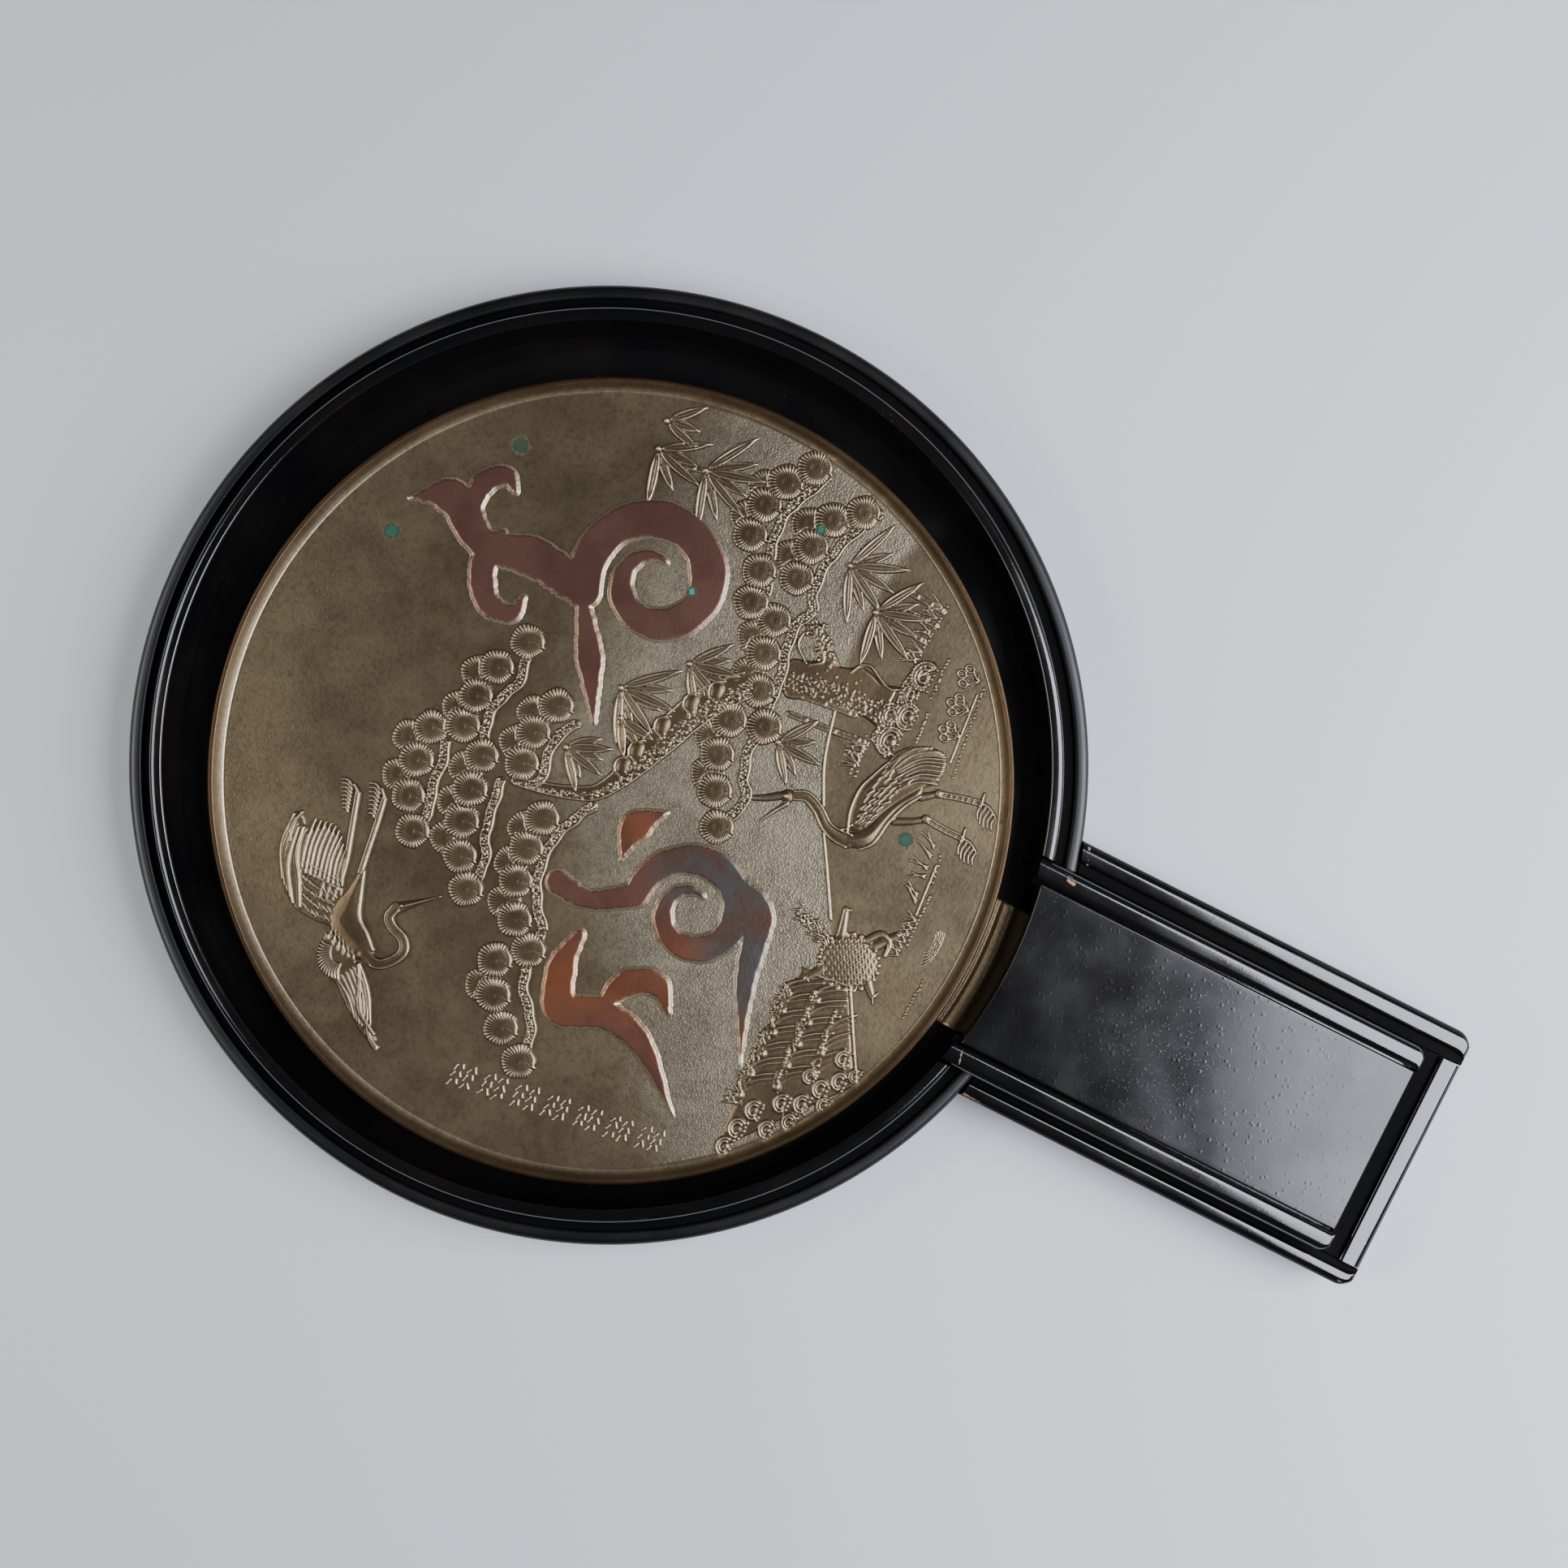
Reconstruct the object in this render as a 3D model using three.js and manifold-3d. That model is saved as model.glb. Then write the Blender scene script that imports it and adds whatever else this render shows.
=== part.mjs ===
// An antique cast bronze hand mirror, lying face down in the open lower half of its black
// lacquered wooden case. A loose lacquered board covers the mirror's handle.
// Millimetres, +Z up. The origin is the centre of the round tray's underside, and the
// handle points along -Y, so the mirror's picture stands upright along +Y.
import * as THREE from 'three';
import { mergeVertices } from 'three/addons/utils/BufferGeometryUtils.js';
import Module from 'manifold-3d';

const wasm = await Module();
wasm.setup();

// Bronze mirror
const mirrorRadius = 120.0;
const plateThickness = 3.2;
const rimHeight = 6.5; // from the polished face to the top of the rim
const rimTopWidth = 0.9;
const rimSlopeWidth = 2.3;
const rimEdge = 0.7;
const rimTaper = 0.4;
const handleWidth = 41.0;
const handleLength = 112.0; // beyond the disc's edge
const handleThickness = 3.6;
const handleCornerRadius = 6.0;
const handleRoot = 8.0; // how far the handle's bar reaches in under the rim
const mirrorSlide = [-0.45, -0.25]; // how far it has slid across, as shares of its play

// Case, plan sizes
const mirrorPlay = 8.9; // between the disc and the round lining
const liningThickness = 4.0;
const ledgeWidth = 3.2; // flat seat for the lid, between the lining and the outer bead
const beadWidth = 4.4; // rounded outer bead
const handlePlay = 6.0; // between the mirror's handle and each rail
const railStepWidth = 1.6; // low shelf inside the rails, which the cover board rests on
const railThickness = 6.6;
const railCornerRadius = 3.0; // outer corner of a rail's free end
const rightLedgeWidth = 3.2; // the two side walls weren't made alike
const rightBeadWidth = 6.2;
const leftLedgeWidth = 1.9;
const leftBeadWidth = 4.9;
const handleEndPlay = 17.9; // between the mirror handle's tip and the rails' free ends
const endLedgeWidth = 5.6;
const endBeadWidth = 7.2;
const outerCornerRadius = 5.0;
const baseInset = 1.0; // the base board stays inside the wall's foot

// Case, heights
const baseThickness = 4.0;
const channelHeadroom = 7.1; // between the mirror's handle and the cover board's shelf
const coverThickness = 5.5;
const railRise = 1.7; // rails and lining above the cover board
const liningRise = 7.0; // lining above the lid's seat: the lid slides over it
const beadHeight = 1.3; // bead above the lid's seat
const beadRounding = 1.9;
const beadInnerRounding = 0.8;
const footRounding = 1.3;
const arris = 0.7; // small chamfer on the lining's and rails' edges
const jointGap = 0.3; // between pieces that touch
const roundSegments = 54;

// Cover board over the handle
const coverSideGap = 0.5;
const coverEndGap = 0.4;
const coverSetback = 1.8; // its hollow end stands this far behind the lining's inner face
const coverEdge = 0.5;

const liningRadius = mirrorRadius + mirrorPlay;
const ringOuter = liningRadius + liningThickness + jointGap + ledgeWidth + beadWidth;
const channelHalf = handleWidth / 2 + handlePlay;
const halfRail = channelHalf + railThickness;
const outerRight = halfRail + jointGap + rightLedgeWidth + rightBeadWidth;
const outerLeft = halfRail + jointGap + leftLedgeWidth + leftBeadWidth;
const railEnd = mirrorRadius + handleLength + handleEndPlay;
const endWallStart = railEnd + jointGap;
const outerEnd = endWallStart + endLedgeWidth + endBeadWidth;
const insideDisc = mirrorRadius * 0.6; // a cut or bar that starts well inside the round part

const caseFloor = baseThickness + jointGap;
const stepTop = caseFloor + handleThickness + channelHeadroom;
const coverBottom = stepTop + jointGap;
const coverTop = coverBottom + coverThickness;
const liningTop = coverTop + railRise;
const ledgeTop = liningTop - liningRise;
const beadTop = ledgeTop + beadHeight;
const mirrorShift = mirrorSlide.map((share) => share * mirrorPlay);
const rimTop = mirrorRadius - rimTaper;
const crest = rimTop - rimEdge - rimTopWidth; // inner edge of the rim's flat top
const fieldRadius = crest - rimSlopeWidth;

const bronze = new THREE.MeshStandardMaterial({ color: 0x7d6a4a, roughness: 0.42, metalness: 0.9 });
const lacquer = new THREE.MeshStandardMaterial({ color: 0x0b0a0c, roughness: 0.12, metalness: 0.0 });

// A closed three.js geometry as a solid, turned inside out where its faces point in
function toSolid(geometry) {
  const bare = geometry.index ? geometry.toNonIndexed() : geometry.clone();
  bare.deleteAttribute('normal');
  bare.deleteAttribute('uv');
  const merged = mergeVertices(bare, 1e-4);
  const vertProperties = new Float32Array(merged.attributes.position.array);
  const triVerts = new Uint32Array(merged.index.array);
  const solid = new wasm.Manifold(new wasm.Mesh({ numProp: 3, vertProperties, triVerts }));
  if (solid.volume() > 0) return solid;
  for (let i = 0; i < triVerts.length; i += 3) {
    [triVerts[i + 1], triVerts[i + 2]] = [triVerts[i + 2], triVerts[i + 1]];
  }
  return new wasm.Manifold(new wasm.Mesh({ numProp: 3, vertProperties, triVerts }));
}

function toMesh(solid, name, material) {
  const { vertProperties, triVerts } = solid.getMesh();
  const geometry = new THREE.BufferGeometry();
  geometry.setAttribute('position', new THREE.BufferAttribute(new Float32Array(vertProperties), 3));
  geometry.setIndex(new THREE.BufferAttribute(new Uint32Array(triVerts), 1));
  geometry.computeVertexNormals();
  const mesh = new THREE.Mesh(geometry, material);
  mesh.name = name;
  return mesh;
}

// A closed outline of (radius, height) points turned about Z
function turned(outline) {
  const points = [...outline, outline[0]].map(([r, z]) => new THREE.Vector2(r, z));
  return toSolid(new THREE.LatheGeometry(points, roundSegments).rotateX(Math.PI / 2));
}

// A flat outline of (x, y) points raised from z0 to z1
function raised(outline, z0, z1) {
  const shape = new THREE.Shape(outline.map(([x, y]) => new THREE.Vector2(x, y)));
  const geometry = new THREE.ExtrudeGeometry(shape, { depth: z1 - z0, bevelEnabled: false });
  return toSolid(geometry.translate(0, 0, z0));
}

// A section of (across, height) points, run along Y from y0 to y1
function runAlongY(section, y0, y1) {
  const shape = new THREE.Shape(section.map(([x, z]) => new THREE.Vector2(x, z)));
  const geometry = new THREE.ExtrudeGeometry(shape, { depth: y1 - y0, bevelEnabled: false });
  return toSolid(geometry.rotateX(Math.PI / 2).translate(0, y1, 0));
}

// A section of (distance towards -Y, height) points, run along X from -half to half
function runAcross(section, half) {
  const shape = new THREE.Shape(section.map(([d, z]) => new THREE.Vector2(d, z)));
  const geometry = new THREE.ExtrudeGeometry(shape, { depth: 2 * half, bevelEnabled: false });
  return toSolid(geometry.rotateX(Math.PI / 2).rotateZ(-Math.PI / 2).translate(half, 0, 0));
}

function box(x0, x1, y0, y1, z0, z1) {
  return raised([[x0, y0], [x1, y0], [x1, y1], [x0, y1]], z0, z1);
}

function mirroredX(section) {
  return section.map(([x, z]) => [-x, z]).reverse();
}

// A rectangle whose corners at its -Y end are round
function roundEndedOutline(halfWidth, yNear, yFar, radius) {
  const steps = 4;
  const points = [[halfWidth, yNear], [-halfWidth, yNear]];
  for (const [side, from] of [[-1, Math.PI], [1, Math.PI * 1.5]]) {
    for (let i = 0; i <= steps; i++) {
      const angle = from + (i / steps) * (Math.PI / 2);
      const x = side * (halfWidth - radius) + radius * Math.cos(angle);
      points.push([x, yFar + radius + radius * Math.sin(angle)]);
    }
  }
  return points;
}

// Sections of the case

// Outer wall: flat seat for the lid inside, then a rounded bead, and a round foot
function wallSection(inner, ledge, bead) {
  const foot = inner + ledge;
  const outer = foot + bead;
  const round = Math.min(beadRounding, bead * 0.6);
  const soft = Math.min(beadInnerRounding, bead * 0.3, beadHeight);
  return [
    [inner, caseFloor],
    [outer - footRounding, caseFloor],
    [outer, caseFloor + footRounding],
    [outer, beadTop - round],
    [outer - round * 0.3, beadTop - round * 0.3],
    [outer - round, beadTop],
    [foot + soft, beadTop],
    [foot, beadTop - soft],
    [foot, ledgeTop],
    [inner, ledgeTop],
  ];
}

// Raised lining, with small chamfers along its top
function liningSection(inner, outer) {
  return [
    [inner, caseFloor],
    [outer, caseFloor],
    [outer, liningTop - arris],
    [outer - arris, liningTop],
    [inner + arris, liningTop],
    [inner, liningTop - arris],
  ];
}

// A rail is a length of lining with a low shelf inside it
function railSection() {
  const [, ...rest] = liningSection(channelHalf, halfRail);
  const shelf = channelHalf - railStepWidth;
  return [[shelf, caseFloor], ...rest, [channelHalf, stepTop], [shelf, stepTop]];
}

function plug(radius) {
  return turned([[0, 0], [radius, 0], [radius, liningTop + 1], [0, liningTop + 1]]);
}

// Case pieces

function baseBoard() {
  const radius = ringOuter - baseInset;
  const round = turned([[0, 0], [radius, 0], [radius, baseThickness], [0, baseThickness]]);
  const tongueEnd = -(outerEnd - baseInset);
  const halfTongue = (outerLeft + outerRight) / 2 - baseInset;
  const outline = roundEndedOutline(halfTongue, -insideDisc, tongueEnd, outerCornerRadius);
  const aside = (outerRight - outerLeft) / 2;
  const tongue = raised(outline.map(([x, y]) => [x + aside, y]), 0, baseThickness);
  return toMesh(round.add(tongue), 'base_board', lacquer);
}

// A ring of the round part, open where the handle's pieces pass
function openRing(section, name) {
  const half = halfRail + jointGap;
  const passage = box(-half, half, -ringOuter - 1, 0, 0, liningTop + 1);
  return toMesh(turned(section).subtract(passage), name, lacquer);
}

function ringWall() {
  const inner = liningRadius + liningThickness + jointGap;
  return openRing(wallSection(inner, ledgeWidth, beadWidth), 'round_outer_wall');
}

function ringLining() {
  const outer = liningRadius + liningThickness;
  return openRing(liningSection(liningRadius, outer), 'round_raised_lining');
}

// A rail's outer corner is round at its free end
function handleRail(side, name) {
  const section = railSection();
  const bar = runAlongY(side > 0 ? section : mirroredX(section), -railEnd, -insideDisc);
  const plan = roundEndedOutline(halfRail, 0, -railEnd, railCornerRadius);
  const trimmed = bar.intersect(raised(plan, 0, liningTop + 1));
  return toMesh(trimmed.subtract(plug(liningRadius)), name, lacquer);
}

// A side wall runs past the end wall and rounds the case's outer corner
function handleWall(side, ledge, bead, name) {
  const inner = halfRail + jointGap;
  const section = wallSection(inner, ledge, bead);
  const bar = runAlongY(side > 0 ? section : mirroredX(section), -outerEnd, -insideDisc);
  const plan = roundEndedOutline(inner + ledge + bead, 0, -outerEnd, outerCornerRadius);
  const roundPart = plug(ringOuter + jointGap);
  return toMesh(bar.intersect(raised(plan, 0, liningTop)).subtract(roundPart), name, lacquer);
}

// The end wall stands between the side walls; its shelf carries the cover board's end
function endWall() {
  const bar = runAcross(wallSection(endWallStart, endLedgeWidth, endBeadWidth), halfRail);
  const shelfHalf = channelHalf - railStepWidth - jointGap;
  const shelf = box(-shelfHalf, shelfHalf, -endWallStart - 1, -railEnd + railStepWidth, caseFloor, stepTop);
  return toMesh(bar.add(shelf), 'handle_end_wall', lacquer);
}

// The loose board over the handle: flat, with one hollow end that completes the round part
function coverBoard() {
  const half = channelHalf - coverSideGap;
  const farEnd = railEnd - coverEndGap;
  const section = [
    [-half, coverBottom],
    [half, coverBottom],
    [half, coverTop - coverEdge],
    [half - coverEdge, coverTop],
    [-half + coverEdge, coverTop],
    [-half, coverTop - coverEdge],
  ];
  const board = runAlongY(section, -farEnd, -insideDisc);
  return toMesh(board.subtract(plug(liningRadius + coverSetback)), 'handle_cover_board', lacquer);
}

// Relief on the mirror's back. Places are (right, up) from the disc's centre, drawn in a round
// field of pictureRadius that fills the rim.
const pictureRadius = 115.7;
const sink = 0.4; // how deep a raised motif is set into the plate
const reliefHeight = 1.2; // needle tufts, trunk and birds
const scrollHeight = 1.0; // flat cloud scrolls
const lineHeight = 0.7; // twigs, stems, shore lines and strokes
const tuftRadius = 4.9;
const tuftSides = 7;
const backTuftRadius = 3.8; // a tuft half hidden behind its neighbours
const backTuftLift = 6.4; // how far it stands above them

// Points along a smooth curve through a few places
function along(places, count) {
  const points = places.map(([x, y]) => new THREE.Vector3(x, y, 0));
  const curve = new THREE.CatmullRomCurve3(points, false, 'catmullrom', 0.5);
  return Array.from({ length: count }, (_, i) => curve.getPoint(count > 1 ? i / (count - 1) : 0));
}

// A motif's closed solid, drawn in the picture's field and fitted to the mirror's
function motif(positions, index) {
  const fit = fieldRadius / pictureRadius;
  const geometry = new THREE.BufferGeometry();
  geometry.setAttribute('position', new THREE.Float32BufferAttribute(positions, 3));
  geometry.setIndex(index);
  return toSolid(geometry.scale(fit, fit, 1));
}

// A closed solid from rings of the same number of points, one after the other
function skin(rings) {
  const n = rings[0].length;
  const index = [];
  for (let k = 0; k + 1 < rings.length; k++) {
    for (let i = 0; i < n; i++) {
      const a = k * n + i;
      const b = k * n + ((i + 1) % n);
      index.push(a, b, b + n, a, b + n, a + n);
    }
  }
  const last = (rings.length - 1) * n;
  for (let i = 1; i + 1 < n; i++) {
    index.push(0, i + 1, i, last, last + i, last + i + 1);
  }
  return motif(rings.flat(2), index);
}

// A raised band along a curve; widths are spread evenly over it, and with no top it is a ridge
function band(places, widths, height, topShare = 0.6, count = places.length + 3) {
  const line = along(places, count);
  const widthLine = along(widths.map((w) => [w, 0]), count).map((p) => Math.max(p.x, 0.3));
  const rings = line.map((p, i) => {
    const before = line[Math.max(i - 1, 0)];
    const after = line[Math.min(i + 1, count - 1)];
    const way = new THREE.Vector3().subVectors(after, before).normalize();
    const wide = widthLine[i] / 2;
    const high = wide * topShare;
    const at = (s, z) => [p.x - way.y * s, p.y + way.x * s, z];
    const z0 = plateThickness - sink;
    const z1 = plateThickness + height;
    const top = topShare > 0 ? [at(high, z1), at(-high, z1)] : [at(0, z1)];
    return [at(-wide, z0), at(wide, z0), ...top];
  });
  return skin(rings);
}

function ridge(places, width, count = places.length + 1) {
  return band(places, [width, width], lineHeight, 0, count);
}

function oval(x, y, radiusX, radiusY, z, sides) {
  return Array.from({ length: sides }, (_, i) => {
    const angle = ((i + 0.5) / sides) * Math.PI * 2;
    return [x + radiusX * Math.cos(angle), y + radiusY * Math.sin(angle), z];
  });
}

// A round or oval mound with a flat crown
function mound(x, y, radiusX, radiusY, height, crown, sides) {
  const foot = oval(x, y, radiusX, radiusY, plateThickness - sink, sides);
  return skin([foot, oval(x, y, radiusX * crown, radiusY * crown, plateThickness + height, sides)]);
}

// A low cone, as a tuft of needles, a knot or a stone has it
function cone(x, y, radiusX, radiusY, height, sides = tuftSides) {
  const foot = oval(x, y, radiusX, radiusY, plateThickness - sink, sides);
  const index = foot.flatMap((_, i) => [i, (i + 1) % sides, sides]);
  for (let i = 1; i + 1 < sides; i++) index.push(0, i + 1, i);
  return motif([...foot, [x, y, plateThickness + height]].flat(), index);
}

// A leaf or feather: a low roof with a pointed tip
function blade(x, y, degrees, length, width, height) {
  const angle = THREE.MathUtils.degToRad(degrees);
  const at = (l, w, z) => [
    x + l * Math.cos(angle) - w * Math.sin(angle),
    y + l * Math.sin(angle) + w * Math.cos(angle),
    z,
  ];
  const z0 = plateThickness - sink;
  const positions = [
    at(0, 0, z0),
    at(length * 0.45, width / 2, z0),
    at(length, 0, z0),
    at(length * 0.45, -width / 2, z0),
    at(length * 0.4, 0, plateThickness + height),
  ].flat();
  return motif(positions, [0, 1, 2, 0, 2, 3, 0, 4, 1, 1, 4, 2, 2, 4, 3, 3, 4, 0]);
}

// Pine boughs: the twig's line, the line of the tufts on it, how many, and a tuft at the tip
const boughs = [
  {
    twig: [[-38, 44.5], [-24, 47], [-9, 49]],
    crown: [[-31, 52.5], [-20, 55.8], [-9, 56]],
    tufts: 3,
    tip: [-38.5, 46.5],
  },
  {
    twig: [[-9, 43], [4, 40], [22, 40]],
    crown: [[-5, 47], [5.5, 48.3], [16, 46]],
    tufts: 3,
    tip: [25.5, 41],
  },
  {
    twig: [[-46, 22.5], [-32, 26.5], [-14, 30], [2, 40]],
    crown: [[-39, 31.5], [-25, 35.5], [-10, 37]],
    tufts: 4,
    tip: [-47.5, 24.5],
  },
  { twig: [[-14, 21], [0, 21.5], [11, 19]], crown: [[-7, 26.5], [3, 28], [13.5, 25]], tufts: 3 },
  {
    twig: [[-84, -14], [-73, -10], [-58, -2]],
    crown: [[-80, -3.5], [-72, 2.5], [-63, 8.5]],
    tufts: 3,
    tip: [-86.5, -12.5],
  },
  {
    twig: [[-58, -2], [-44, 3], [-28, 7.5], [-9, 0]],
    crown: [[-50, 7.5], [-35, 13.8], [-19, 14.5]],
    tufts: 4,
    tip: [-57, -0.5],
  },
  {
    twig: [[6, -37], [20, -33], [36, -35], [50, -31]],
    crown: [[12, -28.5], [21.5, -23], [32, -21.5]],
    tufts: 3,
    tip: [3, -34],
  },
  {
    twig: [[36, -34], [50, -30.5], [68, -28]],
    crown: [[43.5, -26.5], [54, -22], [65, -20.5]],
    tufts: 3,
    tip: [35, -33],
  },
  {
    twig: [[68, -28], [84, -28], [95, -28.5], [104, -33]],
    crown: [[78, -21.5], [89, -20.5], [100, -23]],
    tufts: 3,
    tip: [105.5, -30.5],
  },
  {
    twig: [[80, -13.5], [91, -11], [100, -15], [108, -17]],
    crown: [[84, -4.5], [93.5, -3], [102.5, -5.5]],
    tufts: 3,
    tip: [108.5, -12.5],
  },
  { twig: [[62, -17], [72, -15], [80, -13.5]], crown: [[66, -13], [77, -10]], tufts: 2 },
];

function pineBoughs() {
  const solids = [];
  for (const { twig, crown, tufts, tip } of boughs) {
    solids.push(ridge(twig, 2));
    const places = along(crown, tufts);
    const between = along(crown, 2 * tufts - 1).filter((_, i) => i % 2 === 1);
    for (const p of between) {
      solids.push(cone(p.x, p.y + backTuftLift, backTuftRadius, backTuftRadius, reliefHeight));
    }
    for (const p of places) solids.push(cone(p.x, p.y, tuftRadius, tuftRadius, reliefHeight * 1.2));
    if (tip) solids.push(cone(tip[0], tip[1], backTuftRadius, tuftRadius, reliefHeight * 1.2));
  }
  return solids;
}

function pineTrunk() {
  const trunk = [
    [57, -66], [56, -53], [52, -40], [46, -29], [37, -19],
    [23, -10], [8, -4.5], [-4, -1], [-9.5, 8], [-12, 20],
  ];
  const limb = [[59, -45], [67, -37], [70, -29]];
  const knots = [[6, -2], [14.5, -4.2], [23, -7.2], [31, -11.5]];
  const knotRadius = 4.2;
  const rootRadius = 3.8;
  const roots = [[47, -68], [56.5, -70.5], [68, -69]];
  return [
    band(trunk, [15, 12.5, 12.5, 10, 8, 7, 5.6, 4.6, 4, 2.4], reliefHeight * 1.15),
    band(limb, [8, 6, 4], reliefHeight),
    band([[43, -66], [52, -65], [62, -66], [73, -68]], [2, 5, 5, 2], reliefHeight * 0.8),
    ...knots.map(([x, y]) => cone(x, y, knotRadius, knotRadius * 0.8, reliefHeight * 1.5)),
    ...roots.map(([x, y]) => cone(x, y, rootRadius, rootRadius * 0.8, reliefHeight)),
  ];
}

// Bamboo: a node and the directions and lengths of the leaves that hang from it
const leafWidth = 2.6;
const sprays = [
  { node: [1.5, 17.5], first: 232, last: 308, leaves: 5, length: 11.5 },
  { node: [27, 10.5], first: 198, last: 318, leaves: 7, length: 15 },
  { node: [41, -5], first: 212, last: 322, leaves: 6, length: 12 },
  { node: [94, 31.5], first: 198, last: 362, leaves: 7, length: 13.5 },
  { node: [95, 16], first: 198, last: 346, leaves: 7, length: 14 },
  { node: [89, -34], first: 198, last: 342, leaves: 7, length: 15 },
  { node: [79, -47.5], first: 188, last: 340, leaves: 7, length: 14 },
  { node: [34, -38], first: 204, last: 340, leaves: 6, length: 12 },
];
const stalks = [
  [[41, -38], [42, -50], [43, -62]],
  [[80, -48], [79.5, -56], [79, -64]],
  [[95, 16], [93.5, 24], [94, 31]],
];

function bambooLeaves() {
  const solids = stalks.map((line) => ridge(line, 1.4));
  for (const { node, first, last, leaves, length } of sprays) {
    for (let i = 0; i < leaves; i++) {
      const degrees = first + ((last - first) * i) / (leaves - 1);
      const reach = length * (i % 2 ? 0.8 : 1);
      solids.push(blade(node[0], node[1], degrees, reach, leafWidth, reliefHeight * 0.8));
    }
  }
  return solids;
}

// Feathers side by side: their roots lie on one line and their tips on another
function plumage(roots, tips, count, width, height) {
  const from = along(roots, count);
  const to = along(tips, count);
  return from.map((p, i) => {
    const way = new THREE.Vector3().subVectors(to[i], p);
    const degrees = THREE.MathUtils.radToDeg(Math.atan2(way.y, way.x));
    return blade(p.x, p.y, degrees, way.length(), width, height);
  });
}

function flyingCrane() {
  return [
    band([[-78, 46], [-70, 51], [-59, 54.5]], [6, 9, 3], reliefHeight * 1.2),
    band(
      [[-77.5, 46], [-79.5, 38], [-73.5, 32.5], [-68, 36.5], [-64, 40.5], [-59.5, 38]],
      [5, 3, 2.4, 2.2, 3.2, 2.4],
      reliefHeight
    ),
    blade(-59.5, 38, 310, 11, 2, lineHeight),
    ridge([[-62, 58], [-49, 61.5], [-36, 66.5]], 1.6),
    ridge([[-60, 54], [-48, 55.5], [-34, 58.5]], 1.6),
    band([[-76, 55], [-75, 66], [-64, 75], [-50, 78.5]], [5, 4, 3, 1.4], reliefHeight),
    band([[-76, 54], [-86, 50], [-93, 41], [-101.5, 27.5]], [6, 6, 4, 1.2], reliefHeight),
    ...plumage(
      [[-72, 56], [-72, 64], [-70, 71]],
      [[-52, 59.5], [-46.5, 68], [-47.5, 76.5]],
      9,
      2.2,
      reliefHeight * 0.8
    ),
    ...plumage(
      [[-80, 50], [-88, 45], [-94, 38]],
      [[-80, 42], [-90, 36], [-99, 27.5]],
      7,
      2.2,
      reliefHeight * 0.8
    ),
    ...plumage([[-38, 66], [-36, 67]], [[-39, 71.5], [-34, 70]], 3, 1.0, lineHeight),
    ...plumage([[-37, 58.5], [-35, 58.5]], [[-36, 63.5], [-31, 60.5]], 3, 1.0, lineHeight),
  ];
}

function standingCrane() {
  return [
    band(
      [[17.5, -47.5], [21.5, -52], [20, -58.5], [15, -65.5], [15, -72]],
      [3.4, 2.6, 2.6, 3.6, 6],
      reliefHeight
    ),
    blade(18, -48.2, 160, 11, 2, lineHeight),
    blade(18.5, -47, 122, 9, 2, lineHeight),
    band([[14.8, -70], [20, -76.5], [30, -79.5], [41, -82.5]], [6, 9, 9, 3], reliefHeight * 1.2),
    band([[18, -69.5], [32, -67.2], [45, -71]], [3, 2.4, 1.2], reliefHeight),
    ...plumage(
      [[19, -70], [26, -72.5], [36, -77]],
      [[42, -70.5], [48, -75], [50, -85]],
      9,
      2.2,
      reliefHeight * 0.9
    ),
    ...plumage(
      [[38, -72], [42, -77], [40, -81]],
      [[50.5, -77], [52.5, -82], [49, -87]],
      6,
      1.8,
      reliefHeight * 0.8
    ),
    ridge([[28, -81], [31.5, -89], [32, -100]], 1.8),
    ridge([[37, -83], [40, -90], [42.5, -100]], 1.8),
    ...plumage([[32, -100], [32, -100.5]], [[24, -101], [27, -105.5]], 3, 1.2, lineHeight),
    ...plumage([[42.5, -100], [42.5, -100.5]], [[35, -101], [38, -106.5]], 3, 1.2, lineHeight),
  ];
}

// A long-tailed tortoise, its tail drawn out as water weed
function tortoise() {
  return [
    mound(-16.5, -87, 8.2, 8.8, reliefHeight * 1.2, 0.55, 10),
    band([[-13, -80], [-11.5, -73], [-8, -66]], [5, 6, 3], reliefHeight * 0.8),
    band([[-10, -81.5], [-6.5, -79.5], [-2.5, -80]], [3, 3.4, 1.4], reliefHeight),
    band([[-9, -92], [-5, -95.5], [-2.5, -99]], [3, 2.6, 1], reliefHeight * 0.8),
    band([[-19, -94], [-22, -97.5]], [3.4, 2], reliefHeight * 0.8),
    band([[-23, -82], [-26.5, -79]], [3, 1.6], reliefHeight * 0.8),
  ];
}

// Rocks and surf along the lower left, in rows of overlapping mounds
function shore() {
  const rows = [
    { from: [-81, -80], to: [-31, -78.5], stones: 7 },
    { from: [-72, -87.5], to: [-31, -87], stones: 6 },
    { from: [-61, -95], to: [-38, -95], stones: 4 },
  ];
  const solids = [];
  for (const { from, to, stones } of rows) {
    for (const p of along([from, to], stones)) solids.push(cone(p.x, p.y, 4.4, 4.0, reliefHeight));
  }
  const lines = [
    [[-8, -78], [4, -69.5], [13.5, -63.5]],
    [[22, -60], [34, -54.5], [47, -50.5]],
    [[-25, -83], [-22.5, -90]],
    [[-22.5, -90], [-35, -97.5], [-47, -105]],
  ];
  for (const line of lines) solids.push(ridge(line, 1.4));
  return solids;
}

// Tufts of grass and small plants on the bank
const grasses = [
  { at: [-63, -75], count: 3 },
  { at: [-37, -74], count: 3 },
  { at: [40, -61.5], count: 3 },
  { at: [74, -62], count: 3 },
  { at: [86, -62], count: 3 },
  { at: [10, -96], count: 4 },
  { at: [21, -96], count: 4 },
  { at: [58, -84.5], count: 3 },
  { at: [66, -84], count: 3 },
  { at: [74, -82.5], count: 3 },
];

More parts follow.
